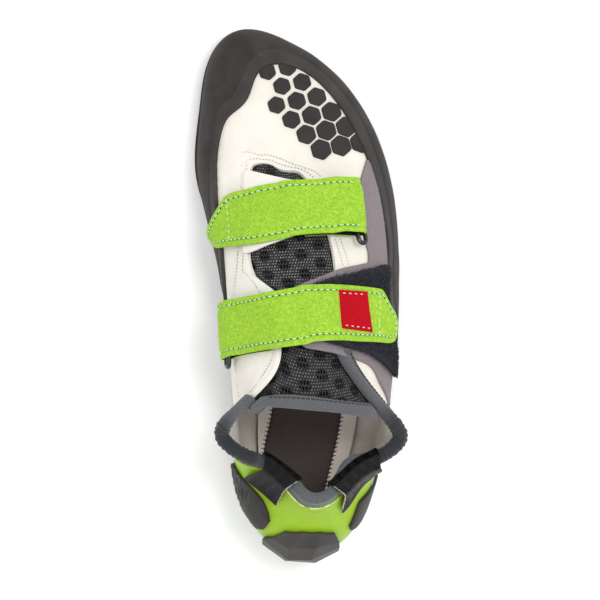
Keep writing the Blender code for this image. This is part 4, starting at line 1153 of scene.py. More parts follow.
def tongue_place(back, cross, lift):
    """Under the instep for back above 0; for back below 0, a tuck that follows the vamp's wall."""
    depth = np.clip(-back / 0.06, 0, 1)
    inner = THROAT_FRONT[1] - TUCK_NARROWING * depth
    outer = THROAT_FRONT[0] + TUCK_NARROWING * depth
    turn = inner + (outer - inner) * np.clip(cross, 0, 1)
    past = np.clip(-cross, 0, None) + np.clip(cross - 1, 0, None)
    front = skin(turn, 1 - TUCK_CLIMB * depth - past, lift)
    return np.where((back < 0.03)[..., None], front, over(np.clip(back, 0.06, 1), cross, lift))


tucked, open_part = np.linspace(-0.06, 0.02, 8), 0.06 + (TONGUE_REAR - 0.06) * np.linspace(0, 1, 210)
tongue_back = np.concatenate([tucked, open_part])[:, None]
tongue_cross = (-0.15 + 1.30 * spread(130, 0.2))[None, :]
tongue_back, tongue_cross = np.broadcast_arrays(tongue_back, tongue_cross)
sink = np.clip((tongue_back - 0.66) / 0.14, 0, 1) * (BINDING_WALL + BINDING_EASE + GAP)
tongue_lift = -(UPPER_WALL + GAP + TONGUE_CLEARANCE) - sink
tongue_plain = tongue_place(tongue_back, tongue_cross, tongue_lift)
tongue_uv = arc_uv(tongue_plain)
lattice = np.array([math.sqrt(3), 1.0]) * DENT_PITCH
start = tongue_uv + np.array([0.0030, 0.0012]) + lattice / 2
fields = [(start + shift * lattice) % lattice - lattice / 2 for shift in (0.0, 0.5)]
near_dent = np.minimum(*[np.linalg.norm(field, axis=-1) for field in fields])
dent = smooth_step(DENT_RADIUS, DENT_RADIUS * 0.72, near_dent)
cushion = np.minimum(0.0003 * ripples(tongue_plain, 0.04, 15), 0.0002)
tongue_top = tongue_place(tongue_back, tongue_cross, tongue_lift - DENT_DEPTH * dent + cushion)
tongue_under = tongue_place(tongue_back, tongue_cross, tongue_lift - TONGUE_WALL)
# the second mark dims the painted thread glints towards the tongue's rear
tongue_marks = {"dent": dent, "rear_glint_fade": smooth_step(0.56, 0.72, tongue_back)}
tongue = shell("mesh_tongue", tongue_top, tongue_under, MESH_CLOTH, ["tongue"],
               marks=tongue_marks, flat=tongue_uv)
print("tongue:", len(tongue.data.vertices), "points")

# %% [markdown]
# ## Overlays
# Three flat pieces lie on the shell over the instep: a white flap under the front strap, a grey suede
# overlay on the outer side, and the loop patch that the rear strap grips. Each is cut between two
# edges given by a short table, and its suede edge is a little rounded.

# %% White flap, suede overlay and loop patch
MEDIAL_FLAP = [
    # cross, front back, rear back
    (-0.11, 0.010, 0.345),
    (-0.06, -0.022, 0.365),
    (0.00, -0.034, 0.365),
    (0.30, -0.018, 0.335),
    (0.52, 0.000, 0.31),
    (0.80, 0.025, 0.28),
]
LATERAL_FLAP = [
    # inner edge's back and cross, outer edge's back and cross
    (-0.080, 1.462, -0.080, 1.480),
    (-0.040, 1.415, -0.040, 1.490),
    (0.024, 1.352, 0.024, 1.490),
    (0.110, 1.300, 0.110, 1.490),
    (0.200, 1.275, 0.200, 1.490),
    (0.310, 1.270, 0.310, 1.490),
    (0.370, 1.285, 0.370, 1.490),
    (0.410, 1.280, 0.410, 1.490),
    (0.426, 1.200, 0.426, 1.490),
    (0.440, 1.100, 0.442, 1.490),
    (0.460, 0.970, 0.464, 1.490),
    (0.485, 0.790, 0.492, 1.490),
    (0.510, 0.600, 0.520, 1.490),
    (0.535, 0.440, 0.548, 1.490),
    (0.600, 0.340, 0.604, 1.490),
    (0.680, 0.320, 0.680, 1.580),
    (0.745, 0.340, 0.740, 1.640),
    (0.783, 0.440, 0.780, 1.680),
    (0.800, 0.600, 0.805, 1.690),
    (0.814, 0.790, 0.825, 1.690),
    (0.828, 0.970, 0.840, 1.690),
    (0.838, 1.120, 0.870, 1.690),
    (0.850, 1.230, 0.895, 1.690),
    (0.878, 1.292, 0.925, 1.690),
    (0.912, 1.312, 0.945, 1.680),
    (0.955, 1.370, 0.970, 1.660),
    (1.000, 1.420, 1.000, 1.560),
]
LOOP_PATCH = [
    # inner edge's back and cross, outer edge's back and cross
    (0.428, 1.410, 0.428, 1.450),
    (0.455, 1.270, 0.450, 1.455),
    (0.470, 1.160, 0.470, 1.455),
    (0.492, 0.980, 0.495, 1.455),
    (0.510, 0.830, 0.520, 1.455),
    (0.530, 0.680, 0.550, 1.457),
    (0.590, 0.600, 0.600, 1.460),
    (0.680, 0.590, 0.680, 1.540),
    (0.735, 0.600, 0.730, 1.600),
    (0.765, 0.680, 0.765, 1.630),
    (0.780, 0.830, 0.785, 1.650),
    (0.790, 0.980, 0.812, 1.665),
    (0.798, 1.180, 0.842, 1.665),
    (0.818, 1.310, 0.866, 1.665),
    (0.846, 1.440, 0.880, 1.650),
]


def between_edges(rows, count, across, crowd=0.8):
    """Back and cross over a piece whose table's rows give the two ends of lines across it."""
    rows = np.array(rows, float)
    keyed = np.column_stack([np.arange(len(rows)), rows])
    ends = through(keyed, (len(rows) - 1) * np.linspace(0, 1, count))
    marks = spread(across, crowd)[None, :]
    return between(ends[:, [0, 2]], marks), between(ends[:, [1, 3]], marks)


flap_cross = -0.11 + 0.91 * spread(120, 0.6)
flap_ends = through(MEDIAL_FLAP, flap_cross)
flap_back = between(flap_ends, spread(70, 0.8)[None, :])
flap_cross = flap_cross[:, None] + 0 * flap_back
blended = smooth_step(-0.11, -0.02, flap_cross)
SUNK = 0.00008
flap_low, flap_wall = -SUNK + (GAP + SUNK) * blended, FLAP_WALL * blended + 0.0001
layer("white_flap", over, flap_back, flap_cross, flap_low, flap_wall,
      WHITE_LEATHER, "white_leather", ["medial_flap"], edge=0.0005, soft=0.5)

FACING = [
    # back, first cross, last cross
    (0.430, -0.045, -0.010),
    (0.455, -0.045, 0.000),
    (0.480, -0.045, 0.055),
    (0.510, -0.045, 0.135),
    (0.540, -0.045, 0.205),
    (0.600, -0.045, 0.240),
    (0.680, -0.045, 0.110),
    (0.720, -0.045, 0.000),
]
facing_back = (0.43 + 0.29 * spread(60, 0.3))[:, None]
facing_ends = through(FACING, facing_back[:, 0])
facing_cross = between(facing_ends, spread(40, 0.7)[None, :])
joined = smooth_step(-0.045, -0.015, facing_cross) * smooth_step(0.43, 0.45, facing_back)
layer("white_facing", over, facing_back, facing_cross, -0.0012 + 0 * joined, 0.0011 + 0.0004 * joined,
      WHITE_LEATHER, "white_leather", edge=0.0005, soft=0.5)

suede_back, suede_cross = between_edges(LATERAL_FLAP, 300, 110)
layer("grey_overlay", over, suede_back, suede_cross, GAP * 0.3, FLAP_WALL, GREY_SUEDE, "grey_suede",
      ["lateral_flap"], edge=0.0005, relief=lambda d, b, c: 0.00006 * ripples(over(b, c), 0.004, 17))

pile_back, pile_cross = between_edges(LOOP_PATCH, 200, 120)
PILE_LOW = 2 * GAP + 0.0002 + FLAP_WALL
layer("loop_patch_base", over, pile_back, pile_cross, PILE_LOW, 0.0008, NAVY_PILE, "navy_pile",
      ["loop_patch"], edge=0.0008, relief=lambda d, b, c: 0.0002 * ripples(over(b, c), 0.0022, 18))
print("overlays done")

# %% [markdown]
# The patch's pile is thousands of tiny loops. A bump alone would leave its edge clean, so short
# curved blades of fibre stand on it: each is a narrow strip of two quads whose tip leans at random.

# %% Pile fibres
def fibres(name, place, back, cross, low, count, length, width, finish, slot, seed):
    """Short leaning blades: a root on the surface, a knee above it and a tip further over."""
    draw = np.random.default_rng(seed)
    row = draw.integers(0, back.shape[0], count)
    column = draw.integers(0, back.shape[1], count)
    b, c = back[row, column], cross[row, column]
    b, c = b + draw.normal(0, 0.004, count), c + draw.normal(0, 0.008, count)
    b = np.clip(b, back.min() + 0.004, back.max() - 0.004)
    root, out = place(b, c, low + 0 * b), place(b, c, low + 0.001)
    normal = unit(out - root)
    lean = unit(np.cross(normal, unit(draw.normal(size=(count, 3)))))
    side = np.cross(normal, lean) * width / 2
    tall = (length * draw.uniform(0.6, 1.2, count))[:, None]
    knee = root + normal * tall * 0.7 + lean * tall * 0.25
    tip = root + normal * tall * 0.85 + lean * tall * 0.8
    ends = (root, 1.0), (knee, 1.0), (tip, 0.3)
    points = np.stack([middle + sign * share * side for middle, share in ends for sign in (-1, 1)], 1)
    quads = np.array([[0, 1, 3, 2], [2, 3, 5, 4]])[None] + (np.arange(count) * 6)[:, None, None]
    mesh = fill_mesh(name, points, quads.reshape(-1, 4))
    return piece(name, mesh, finish, merge=False, smooth=180)


fibres("loop_pile", over, pile_back, pile_cross, PILE_LOW + 0.0007, 16000, 0.0014, 0.00024,
       NAVY_PILE, "navy_pile", 21)
print("pile fibres set")

# %% [markdown]
# ## Heel
# The green cup is moulded rubber with a rolled upper lip. Two dark insets lie in its sides: a smooth
# lobe with a ribbed rear half on the inner side, and a plain one outside. A faceted block guards the
# back of the heel.

# %% Cup, insets and pad
HEEL_CUP = [
    # turn, lower climb, upper climb
    (-0.113, 0.20, 0.86),
    (-0.106, 0.16, 0.915),
    (0.000, 0.145, 0.915),
    (0.106, 0.16, 0.915),
    (0.113, 0.20, 0.86),
]
HEEL_INSET_MEDIAL = [
    (-0.110, 0.24, 0.40),
    (-0.098, 0.22, 0.54),
    (-0.074, 0.27, 0.60),
    (-0.060, 0.32, 0.61),
    (-0.048, 0.34, 0.58),
    (-0.041, 0.42, 0.53),
]
HEEL_INSET_LATERAL = [
    (0.043, 0.40, 0.46),
    (0.050, 0.33, 0.50),
    (0.060, 0.28, 0.54),
    (0.072, 0.25, 0.48),
    (0.084, 0.24, 0.37),
    (0.094, 0.25, 0.28),
]
HEEL_PAD = [
    # turn, climb, raise for each point of a facet row, from the inner side to the outer
    [(-0.034, 0.22, 0.60), (-0.012, 0.22, 0.95), (0.010, 0.22, 0.95), (0.029, 0.22, 0.60)],
    [(-0.037, 0.33, 0.50), (-0.011, 0.32, 1.10), (0.006, 0.36, 1.10), (0.030, 0.33, 0.50)],
    [(-0.031, 0.43, 0.45), (-0.014, 0.46, 0.90), (0.009, 0.50, 0.95), (0.030, 0.42, 0.45)],
    [(-0.024, 0.56, 0.40), (-0.006, 0.63, 0.45), (0.012, 0.62, 0.45), (0.027, 0.54, 0.40)],
]
HEEL_PAD_WALL = 0.0032
FACET_ANGLE = 9


def wall_band(rows, columns, across, crowd=0.8):
    """Turn and climb over a piece of the wall whose table gives its lower and upper climb at each turn."""
    rows = np.array(rows)
    turn = (rows[0, 0] + (rows[-1, 0] - rows[0, 0]) * spread(columns, crowd))[None, :]
    ends = through(rows, turn[0])
    climb = ends[None, :, 0] + (ends[None, :, 1] - ends[None, :, 0]) * spread(across, crowd)[:, None]
    return turn + 0 * climb, climb


def cup_relief(distance, turn, climb):
    """A rolled lip along the top edge, a bell in climb, over faint waves."""
    lip = np.exp(-(((climb - 0.885) / 0.018) ** 2)) * 0.0005
    return lip + 0.0001 * ripples(skin(turn, climb), 0.02, 25)


cup_turn, cup_climb = wall_band(HEEL_CUP, 170, 90)
layer("heel_cup_rubber", skin, cup_turn, cup_climb, GAP * 0.4, CUP_WALL,
      LIME_RUBBER, "lime_rubber", ["heel_cup"], relief=cup_relief)


def ribbed(distance, turn, climb):
    """Slanting ribs over the inset's front half, fading into a smooth crowned lobe behind."""
    where = smooth_step(-0.066, -0.078, turn)
    ribs = np.cos((climb * 16 + turn * 260) * math.pi + 1.5 * ripples(skin(turn, climb), 0.008, 27))
    lobe = 0.0009 * (1 - where) * rounded(distance, 0.005)
    return 0.0004 * where * ribs * rounded(distance, 0.002) + lobe


def crowned(distance, turn, climb):
    """A low crown over the whole inset."""
    return 0.0004 * rounded(distance, 0.004)


ON_CUP = 2 * GAP + CUP_WALL + CUP_CLEARANCE / 2
INSETS = [
    ("heel_inset_inner", HEEL_INSET_MEDIAL, "heel_inset_medial", ribbed),
    ("heel_inset_outer", HEEL_INSET_LATERAL, "heel_inset_lateral", crowned),
]
for name, table, node, relief in INSETS:
    turn, climb = wall_band(table, 110, 60)
    layer(name, skin, turn, climb, ON_CUP - 0.0004, 0.0012,
          INSET_RUBBER, "black_rubber", [node], relief=relief)


def refine(table, times):
    """A table of points with straight steps set between its rows and its columns."""
    for axis in (0, 1):
        count = table.shape[axis]
        marks = np.linspace(0, count - 1, (count - 1) * times + 1)
        low = np.minimum(marks.astype(int), count - 2)
        share = (marks - low).reshape([-1 if side == axis else 1 for side in range(3)])
        table = np.take(table, low, axis) * (1 - share) + np.take(table, low + 1, axis) * share
    return table


pad = np.array(HEEL_PAD)
pad_low = 2 * GAP + CUP_WALL + CUP_CLEARANCE
corners = skin(pad[..., 0], pad[..., 1], pad_low + pad[..., 2] * HEEL_PAD_WALL)
pad_fine = refine(pad, 6)
pad_under = skin(pad_fine[..., 0], pad_fine[..., 1], pad_low - 0.0004 + 0 * pad_fine[..., 0])
facets = shell("heel_pad_facets", refine(corners, 6), pad_under, PAD_RUBBER, ["heel_pad"],
               smooth=FACET_ANGLE)
soften = facets.modifiers.new("soft_edges", "BEVEL")
soften.width, soften.segments = 0.0004, 2
soften.limit_method, soften.angle_limit = "ANGLE", math.radians(FACET_ANGLE)
print("heel done")

# %% [markdown]
# ## Bindings
# Elastic webbing is folded over every raw edge. Its section is a hairpin over the topline, and it is
# swept along the edge. At the two ears of the collar it is gathered, so it is darker and ribbed.

# %% Collar, quarter and tongue bindings
COLLAR_SPAN = (-0.163, 0.1285)
QUARTER_SPAN = (0.1275, 0.181)
BINDING_DEPTH = 0.93
GATHER_PITCH = 0.0038
TONGUE_TRIM = (0.18, 0.94)


def rim(turn, climb, rise, lift):
    """A point beside the topline: on the wall below it, or straight on past it by rise."""
    edge, below = skin(turn, 1.0 + 0 * climb, lift), skin(turn, 0.94 + 0 * climb, lift)
    return skin(turn, climb, lift) + unit(edge - below) * np.asarray(rise)[..., None]


def hairpin(low, high, arc_count=11, leg_count=8):
    """Climb, rise and side of a hairpin: up the outer leg, half a circle over, down the inner leg."""
    leg = np.linspace(low, 1.0, leg_count)
    swing = np.linspace(0, math.pi, arc_count)[1:-1]
    climb = np.concatenate([leg, np.ones(len(swing)), leg[::-1]])
    up = np.concatenate([0 * leg, np.sin(swing) * high, 0 * leg])
    side = np.concatenate([0 * leg + 1, np.cos(swing), 0 * leg - 1])
    return climb, up, side


def binding(name, span, nodes, ends, count):
    """A hairpin strip along the topline, with gathers where it turns round the collar's ears."""
    climb, up, side = [row[None, :] for row in hairpin(BINDING_DEPTH, 1.0)]
    turn = np.linspace(*span, count)[:, None]
    outer_face, inner_face = GAP + BINDING_WALL, -(UPPER_WALL + BINDING_EASE + GAP + BINDING_WALL)
    near_ears = [smooth_step(0.034, 0.018, np.abs(turn - centre)) for centre in ends]
    gathered = np.max(near_ears, axis=0) + 0 * side
    flat = skin(turn, climb, 0 * turn * climb)
    folds = np.cos(turn * 2 * math.pi / GATHER_PITCH + 1.4 * ripples(flat, 0.006, 31)) * gathered
    bulge = 0.0002 * folds + 0.0006 * gathered + 0.00005 * ripples(flat, 0.003, 32)
    shells = []
    for inset in (0, BINDING_WALL * 0.85):
        out, into = outer_face - inset, inner_face + inset
        middle, half = (out + into) / 2, (out - into) / 2
        swell = bulge if inset == 0 else 0 * bulge
        lift = middle + side * (half + swell)
        shells.append(rim(turn, climb + 0 * turn, up * (half - 0.0006 + swell), lift))
    return shell(name, shells[0], shells[1], BINDING, nodes, marks={"gathered": gathered})


binding("collar_binding_cloth", COLLAR_SPAN, ["collar_binding"], (-0.120, 0.116), 540)
binding("quarter_binding_cloth", QUARTER_SPAN, ["quarter_binding"], (0.120,), 120)

tongue_face = -(UPPER_WALL + GAP + TONGUE_CLEARANCE + BINDING_WALL + BINDING_EASE + GAP)
trim_cross = (0.10 + (TONGUE_TRIM[1] - 0.10) * spread(200, 0.4))[:, None]
swing = np.linspace(0, math.pi, 13)[1:-1]
trim_start = 0.960 + 0.008 * smooth_step(0.3, 0.9, trim_cross)
leaf = np.linspace(0, 1, 10)[None, :]
trim_leaf = trim_start + (TONGUE_REAR - trim_start) * leaf
trim_turn = TONGUE_REAR + 0 * trim_cross + 0 * swing[None, :]
trim_back = np.concatenate([trim_leaf, trim_turn, trim_leaf[:, ::-1]], axis=1)
trim_up = np.concatenate([np.zeros(10), np.sin(swing), np.zeros(10)])[None, :]
trim_side = np.concatenate([np.ones(10), np.cos(swing), -np.ones(10)])[None, :]
before = over(TONGUE_REAR - 0.03, trim_cross, tongue_face)
beyond = unit(over(TONGUE_REAR, trim_cross, tongue_face) - before)
trim_shells = []
for reach in (GAP + 2 * BINDING_EASE + BINDING_WALL, GAP + 2 * BINDING_EASE):
    half = (TONGUE_WALL + 2 * reach) / 2
    lift = tongue_face - TONGUE_WALL / 2 + trim_side * half + 0 * trim_cross
    on_tongue = over(trim_back, trim_cross + 0 * trim_back, lift)
    trim_shells.append(on_tongue + beyond * (trim_up * half)[..., None])
shell("tongue_binding_cloth", trim_shells[0], trim_shells[1], BINDING, ["tongue_binding"],
      marks={"gathered": np.zeros(trim_shells[0].shape[:2])})
print("bindings done")

# %% [markdown]
# ## Ribbons
# A strap or a tape is one line of points carried across its width. Its two faces stand half its
# thickness either side of that sheet, along the sheet's own normal, and come together at its edges.

# %% Ribbons and pull loops
def sheet_normals(points):
    """Unit normals of a grid: the cross product of its two directions of change."""
    return unit(np.cross(np.gradient(points, axis=1), np.gradient(points, axis=0)))


def ribbon(name, middle, wall, finishes, nodes=(), edge=0.0006, relief=0.0, flip=1.0):
    """A closed strip round a sheet of points, with rounded edges and a relief on its first face."""
    normal = sheet_normals(middle) * flip
    distance = edge_distance(middle)
    half = (wall / 2 * (0.35 + 0.65 * rounded(distance, edge)))[..., None]
    outer, inner = middle + normal * (half + np.asarray(relief)[..., None]), middle - normal * half
    return shell(name, outer, inner, finishes, nodes)


PULL_LOOPS = {"pull_loop_medial": (-0.092, -0.045), "pull_loop_lateral": (0.036, 0.098)}
PULL_LOOP_WALL, PULL_LOOP_RISE, PULL_LOOP_SWELL = 0.0012, 0.0075, 0.0020
LOOP_PATH = [
    # step, climb, rise, spread
    (0, 0.62, 0.00, 0.00),
    (1, 0.72, 0.00, 0.35),
    (2, 0.84, 0.00, 0.80),
    (3, 0.94, 0.00, 1.00),
    (4, 1.00, 0.30, 1.00),
    (5, 1.00, 0.80, 0.70),
    (6, 1.00, 1.00, 0.00),
    (7, 1.00, 0.80, -0.60),
    (8, 1.00, 0.30, -1.00),
    (9, 0.94, 0.00, -1.00),
    (10, 0.88, 0.00, -1.00),
]
marks = np.array(LOOP_PATH)
tape_out = 2 * GAP + CUP_WALL + 0.0002 + PULL_LOOP_WALL / 2
tape_in = -(UPPER_WALL + BINDING_EASE + 2 * GAP + BINDING_WALL + PULL_LOOP_WALL / 2)
wide = tape_out + np.clip(marks[:, 3], 0, 1) * PULL_LOOP_SWELL
tape_lift = np.where(marks[:, 3] >= 0, wide, tape_out + (tape_in - tape_out) * -marks[:, 3])
tape_lift[6] = (tape_out + tape_in) / 2
steps = np.linspace(0, 10, 100)
path = through(np.column_stack([marks[:, :3], tape_lift]), steps)
stiff = smooth_step(0.3, 2.5, steps) * smooth_step(10.0, 8.0, steps)
loop_ends = {}
for name, span in PULL_LOOPS.items():
    across = np.linspace(*span, 90)[:, None]
    turn, climb = np.broadcast_arrays(across, np.clip(path[None, :, 0], 0, 1))
    away = np.abs(turn)
    heelward = (away.max() - away) / (away.max() - away.min())
    climb = 1 - (1 - climb) * (1 - 0.22 * heelward)
    rise = PULL_LOOP_RISE * path[None, :, 1] * (1 - 0.4 * heelward)
    sheet_points = rim(turn, climb, rise, path[None, :, 2] + 0 * turn)
    share = np.linspace(0, 1, len(sheet_points))[:, None, None]
    chord = sheet_points[:1] * (1 - share) + sheet_points[-1:] * share
    sheet_points = sheet_points + (chord - sheet_points) * 0.75 * stiff[None, :, None]
    loop_ends[name] = sheet_points[np.argmin(away[:, 0]), 4:70]
    ribbon(name + "_tape", sheet_points, PULL_LOOP_WALL, SATIN_TAPE, [name], flip=-1.0)
print("pull loops done")

# %% [markdown]
# ## Straps
# Each strap is a suede ribbon with a dark inner face. It starts at its pointed tip, crosses the
# instep, folds round one bar of its wire ring and runs back under itself. The seam is pressed in, so
# the mesh dips along a line that keeps its distance from the edge.

# %% Strap tables and the way round the ring
STRAP_FRONT = [
    # cross, front edge, rear edge, layers under the strap
    (-0.800, 0.250, 0.262, 1.6),
    (-0.700, 0.241, 0.295, 1.6),
    (-0.600, 0.225, 0.321, 1.6),
    (-0.500, 0.202, 0.334, 1.6),
    (-0.380, 0.167, 0.336, 1.5),
    (-0.240, 0.114, 0.336, 1.1),
    (0.050, 0.090, 0.335, 1.1),
    (0.450, 0.060, 0.326, 1.2),
    (0.600, 0.052, 0.322, 2.4),
    (1.000, 0.042, 0.315, 2.4),
    (1.260, 0.042, 0.309, 2.4),
]
STRAP_REAR = [
    # cross, front edge, rear edge, layers under the strap
    (1.550, 0.665, 0.700, 2.3),
    (1.500, 0.622, 0.742, 2.3),
    (1.430, 0.585, 0.752, 2.3),
    (1.330, 0.532, 0.756, 2.3),
    (1.000, 0.528, 0.771, 2.3),
    (0.560, 0.535, 0.776, 2.3),
    (0.440, 0.540, 0.780, 1.2),
    (0.240, 0.549, 0.782, 1.2),
    (0.050, 0.553, 0.785, 1.4),
    (-0.500, 0.568, 0.800, 1.4),
    (-0.690, 0.578, 0.810, 1.4),
]
STRAP_RETURNS = {"front": 0.68, "rear": -0.06}
RING_WIRE, RING_PLAY, RING_PITCH, FOLD_EASE = 0.0022, 0.0004, 0.0045, 0.0090
FOLD_SKEW = {"front": 0.036, "rear": 0.0}
SEAM_INSET, SEAM_DEPTH = 0.0031, 0.00035
RING_REACH = {"front": 0.0022, "rear": 0.0006}


def cross_step(back, cross, distance):
    """The change of cross that moves a point over the instep by a distance."""
    step = 0.01
    reach = over(back, cross + step) - over(back, cross - step)
    return distance * 2 * step / np.linalg.norm(reach)


def strap_line(tag, rows, floor):
    """The strap's sheet of points from its tip, round a half circle at the bar, to its end underneath. Also
    the top part's run, backs and lift, the ring's bars, which way the fold lies, and the top's skew."""
    toward = 1 if rows[-1][0] > rows[0][0] else -1
    table = np.array(rows[::toward])
    tip, fold_end = rows[0][0], rows[-1][0]
    middle = (rows[-1][1] + rows[-1][2]) / 2
    hollow = RING_WIRE / 2 + RING_PLAY
    radius = hollow + STRAP_WALL / 2
    bar = fold_end - toward * cross_step(middle, fold_end, hollow + STRAP_WALL)
    bar_lift = floor + STRAP_WALL + hollow
    run = tip + (bar - tip) * np.linspace(0, 1, 230)
    edges = through(table, run)
    lift = GAP + STRAP_WALL / 2 + (FLAP_WALL + GAP) * edges[:, 2]
    distance = np.abs(run - bar) / cross_step(middle, bar, 1.0)
    ease = smooth_step(2.0, 1.0, distance / FOLD_EASE)
    lift = lift + (bar_lift + radius - lift) * ease
    share = spread(64, 0.7)[None, :]

    def backs(cross):
        """Back across the strap's width, between its two edges."""
        return between(through(table, cross), share)

    skew = toward * FOLD_SKEW[tag] * (1 - 2 * share)
    near_fold = smooth_step(0.55, 0.0, np.abs(run - bar))[:, None]
    top = over(backs(run), run[:, None] + skew * near_fold, lift[:, None])
    swing = np.linspace(math.pi / 2, -math.pi / 2, 17)[1:-1, None, None]
    bar_backs, bar_cross = backs(np.array([bar])), bar + skew
    step = 0.01
    centre = over(bar_backs, bar_cross, bar_lift)
    across = over(bar_backs, bar_cross + step, bar_lift) - over(bar_backs, bar_cross - step, bar_lift)
    along = over(bar_backs + step, bar_cross, bar_lift) - over(bar_backs - step, bar_cross, bar_lift)
    across = unit(across)
    out = unit(np.cross(unit(along), across))
    fold = centre + (across * toward * np.cos(swing) + out * np.sin(swing)) * radius
    under = bar + (STRAP_RETURNS[tag] - bar) * np.linspace(0.02, 1, 60)
    under_skew = skew * smooth_step(0.5, 0.0, np.abs(under - bar))[:, None]
    bottom = over(backs(under), under[:, None] + under_skew, floor + STRAP_WALL / 2)
    bars = (middle, bar, bar - toward * cross_step(middle, bar, RING_PITCH), bar_lift)
    return np.concatenate([top, fold, bottom]), run, backs(run), lift, bars, toward, skew * near_fold


FLOORS = {"front": 2 * GAP + 0.0002 + FLAP_WALL, "rear": GAP}
TABLES = {"front": STRAP_FRONT, "rear": STRAP_REAR}
straps = {tag: strap_line(tag, TABLES[tag], FLOORS[tag]) for tag in TABLES}
print("strap sheets:", {tag: line[0].shape for tag, line in straps.items()})

# %% Suede straps and wire rings
def seam_dip(distance, inset=SEAM_INSET, width=0.0006):
    """1 on a line that keeps its distance from the edge, fading over a bell's width."""
    return np.exp(-(((distance - inset) / width) ** 2))


for tag, (sheet_points, run, backs, lift, bars, toward, _) in straps.items():
    to_edge = edge_distance(sheet_points)
    pressed = -SEAM_DEPTH * seam_dip(to_edge) + 0.0001 * ripples(sheet_points, 0.012, 41)
    pressed = pressed + 0.00035 * rounded(to_edge - SEAM_INSET, 0.006) - 0.0002
    ribbon("strap_" + tag + "_suede", sheet_points, STRAP_WALL, [LIME_SUEDE, HOOK_TAPE],
           ["strap_" + tag], edge=0.0007, relief=pressed, flip=toward)


def wire_ring(tag, first, last, bars):
    """A round wire along a closed path: two long bars across the strap, joined by half circles."""
    middle, bar, second, bar_lift = bars
    length = np.linalg.norm(over(last, bar) - over(first, bar))
    metre = (last - first) / length
    back = np.linspace(first + 0.0034 * metre, last + RING_REACH[tag] * metre, 60)
    sides = [over(back, cross, bar_lift) for cross in (bar, second)]
    swing = np.linspace(0, math.pi, 24)[1:-1, None]

    def turn_round(a, b, outward):
        """Half a circle from a to b that bulges outward."""
        centre, arm = (a + b) / 2, (a - b) / 2
        return centre + arm * np.cos(swing) + outward * np.linalg.norm(arm) * np.sin(swing)

    rear_end = turn_round(sides[0][-1], sides[1][-1], unit(sides[0][-1] - sides[0][-2]))
    front_end = turn_round(sides[1][0], sides[0][0], unit(sides[0][0] - sides[0][1]))
    line = np.concatenate([sides[0], rear_end, sides[1][::-1], front_end])
    ahead = unit(np.roll(line, -1, 0) - np.roll(line, 1, 0))
    out = unit(over(middle, bar, bar_lift + 0.001) - over(middle, bar, bar_lift))
    aside = unit(np.cross(ahead, out))
    up = np.cross(aside, ahead)
    angle = (np.arange(20) / 20 * 2 * math.pi)[None, :, None]
    tube = line[:, None] + (aside[:, None] * np.cos(angle) + up[:, None] * np.sin(angle)) * RING_WIRE / 2
    rows, columns = tube.shape[:2]
    index = np.arange(rows * columns).reshape(rows, columns)
    ahead_row, ahead_column = np.roll(index, -1, 0), np.roll(index, -1, 1)
    quads = np.stack([index, ahead_column, np.roll(ahead_row, -1, 1), ahead_row], -1).reshape(-1, 4)
    mesh = fill_mesh("ring_" + tag, tube, quads)
    return piece("ring_" + tag + "_wire", mesh, WIRE, ["ring_" + tag])


for tag, rows in TABLES.items():
    wire_ring(tag, rows[-1][1], rows[-1][2], straps[tag][4])
print("straps and rings done")

# %% [markdown]
# The label is a bare woven patch sewn to the rear strap with a row of bar stitches at its front and
# rear ends.

# %% Label
LABEL_BACKS = (0.552, 0.722)
LABEL_ENDS = [
    # back, first cross, last cross
    (0.552, 0.925, 1.195),
    (0.722, 0.945, 1.245),
]
label_back = (LABEL_BACKS[0] + (LABEL_BACKS[1] - LABEL_BACKS[0]) * spread(70, 0.8))[:, None]
label_ends = through(LABEL_ENDS, label_back[:, 0])
label_cross = between(label_ends, spread(70, 0.8)[None, :])
STRAP_TOP = GAP + STRAP_WALL + (FLAP_WALL + GAP) * STRAP_REAR[0][3]
layer("woven_label", over, label_back, label_cross, STRAP_TOP + 0.0001, 0.0007, LABEL_CLOTH, "red_label",
      ["strap_label"], edge=0.0004, relief=lambda d, b, c: 0.00008 * ripples(over(b, c), 0.006, 51))
print("label done")

# %% [markdown]
# ## Thread
# A seam is a row of short stitches. Each stitch is a tiny bowed tube, fat in its middle and dipping
# into the cloth at both ends. All the stitches of one seam are worked out together as one array, with
# seven points along each for its bow.

# %% Sewing a seam
def resample(points, pitch):
    """Even distances along a line, and the distance run at each of its points."""
    run = np.concatenate([[0], np.cumsum(np.linalg.norm(np.diff(points, axis=0), axis=1))])
    marks = np.arange(pitch / 2, run[-1], pitch)
    return marks, run


def tubes(name, lines, out, radius, finish, sides=6):
    """Closed tubes round many lines at once: circles of radius in the plane across each line."""
    ahead = unit(np.gradient(lines, axis=1))
    aside = unit(np.cross(ahead, out))
    up = np.cross(aside, ahead)
    angle = (np.arange(sides) / sides * 2 * math.pi)[None, None, :, None]
    ring = aside[:, :, None] * np.cos(angle) + up[:, :, None] * np.sin(angle)
    points = lines[:, :, None] + ring * (radius + np.zeros(lines.shape[1]))[None, :, None, None]
    count, rows, columns = points.shape[:3]
    fan = np.arange(1, sides - 2, 2)
    cap = np.stack([0 * fan, fan, fan + 1, fan + 2], -1)
    far_cap = (cap + (rows - 1) * columns)[:, ::-1]
    one = np.concatenate([grid_quads(rows, columns, ring=True)[:, ::-1], cap, far_cap])
    quads = (one[None] + (np.arange(count) * rows * columns)[:, None, None]).reshape(-1, 4)
    return piece(name, fill_mesh(name, points, quads), finish, smooth=180, merge=False)


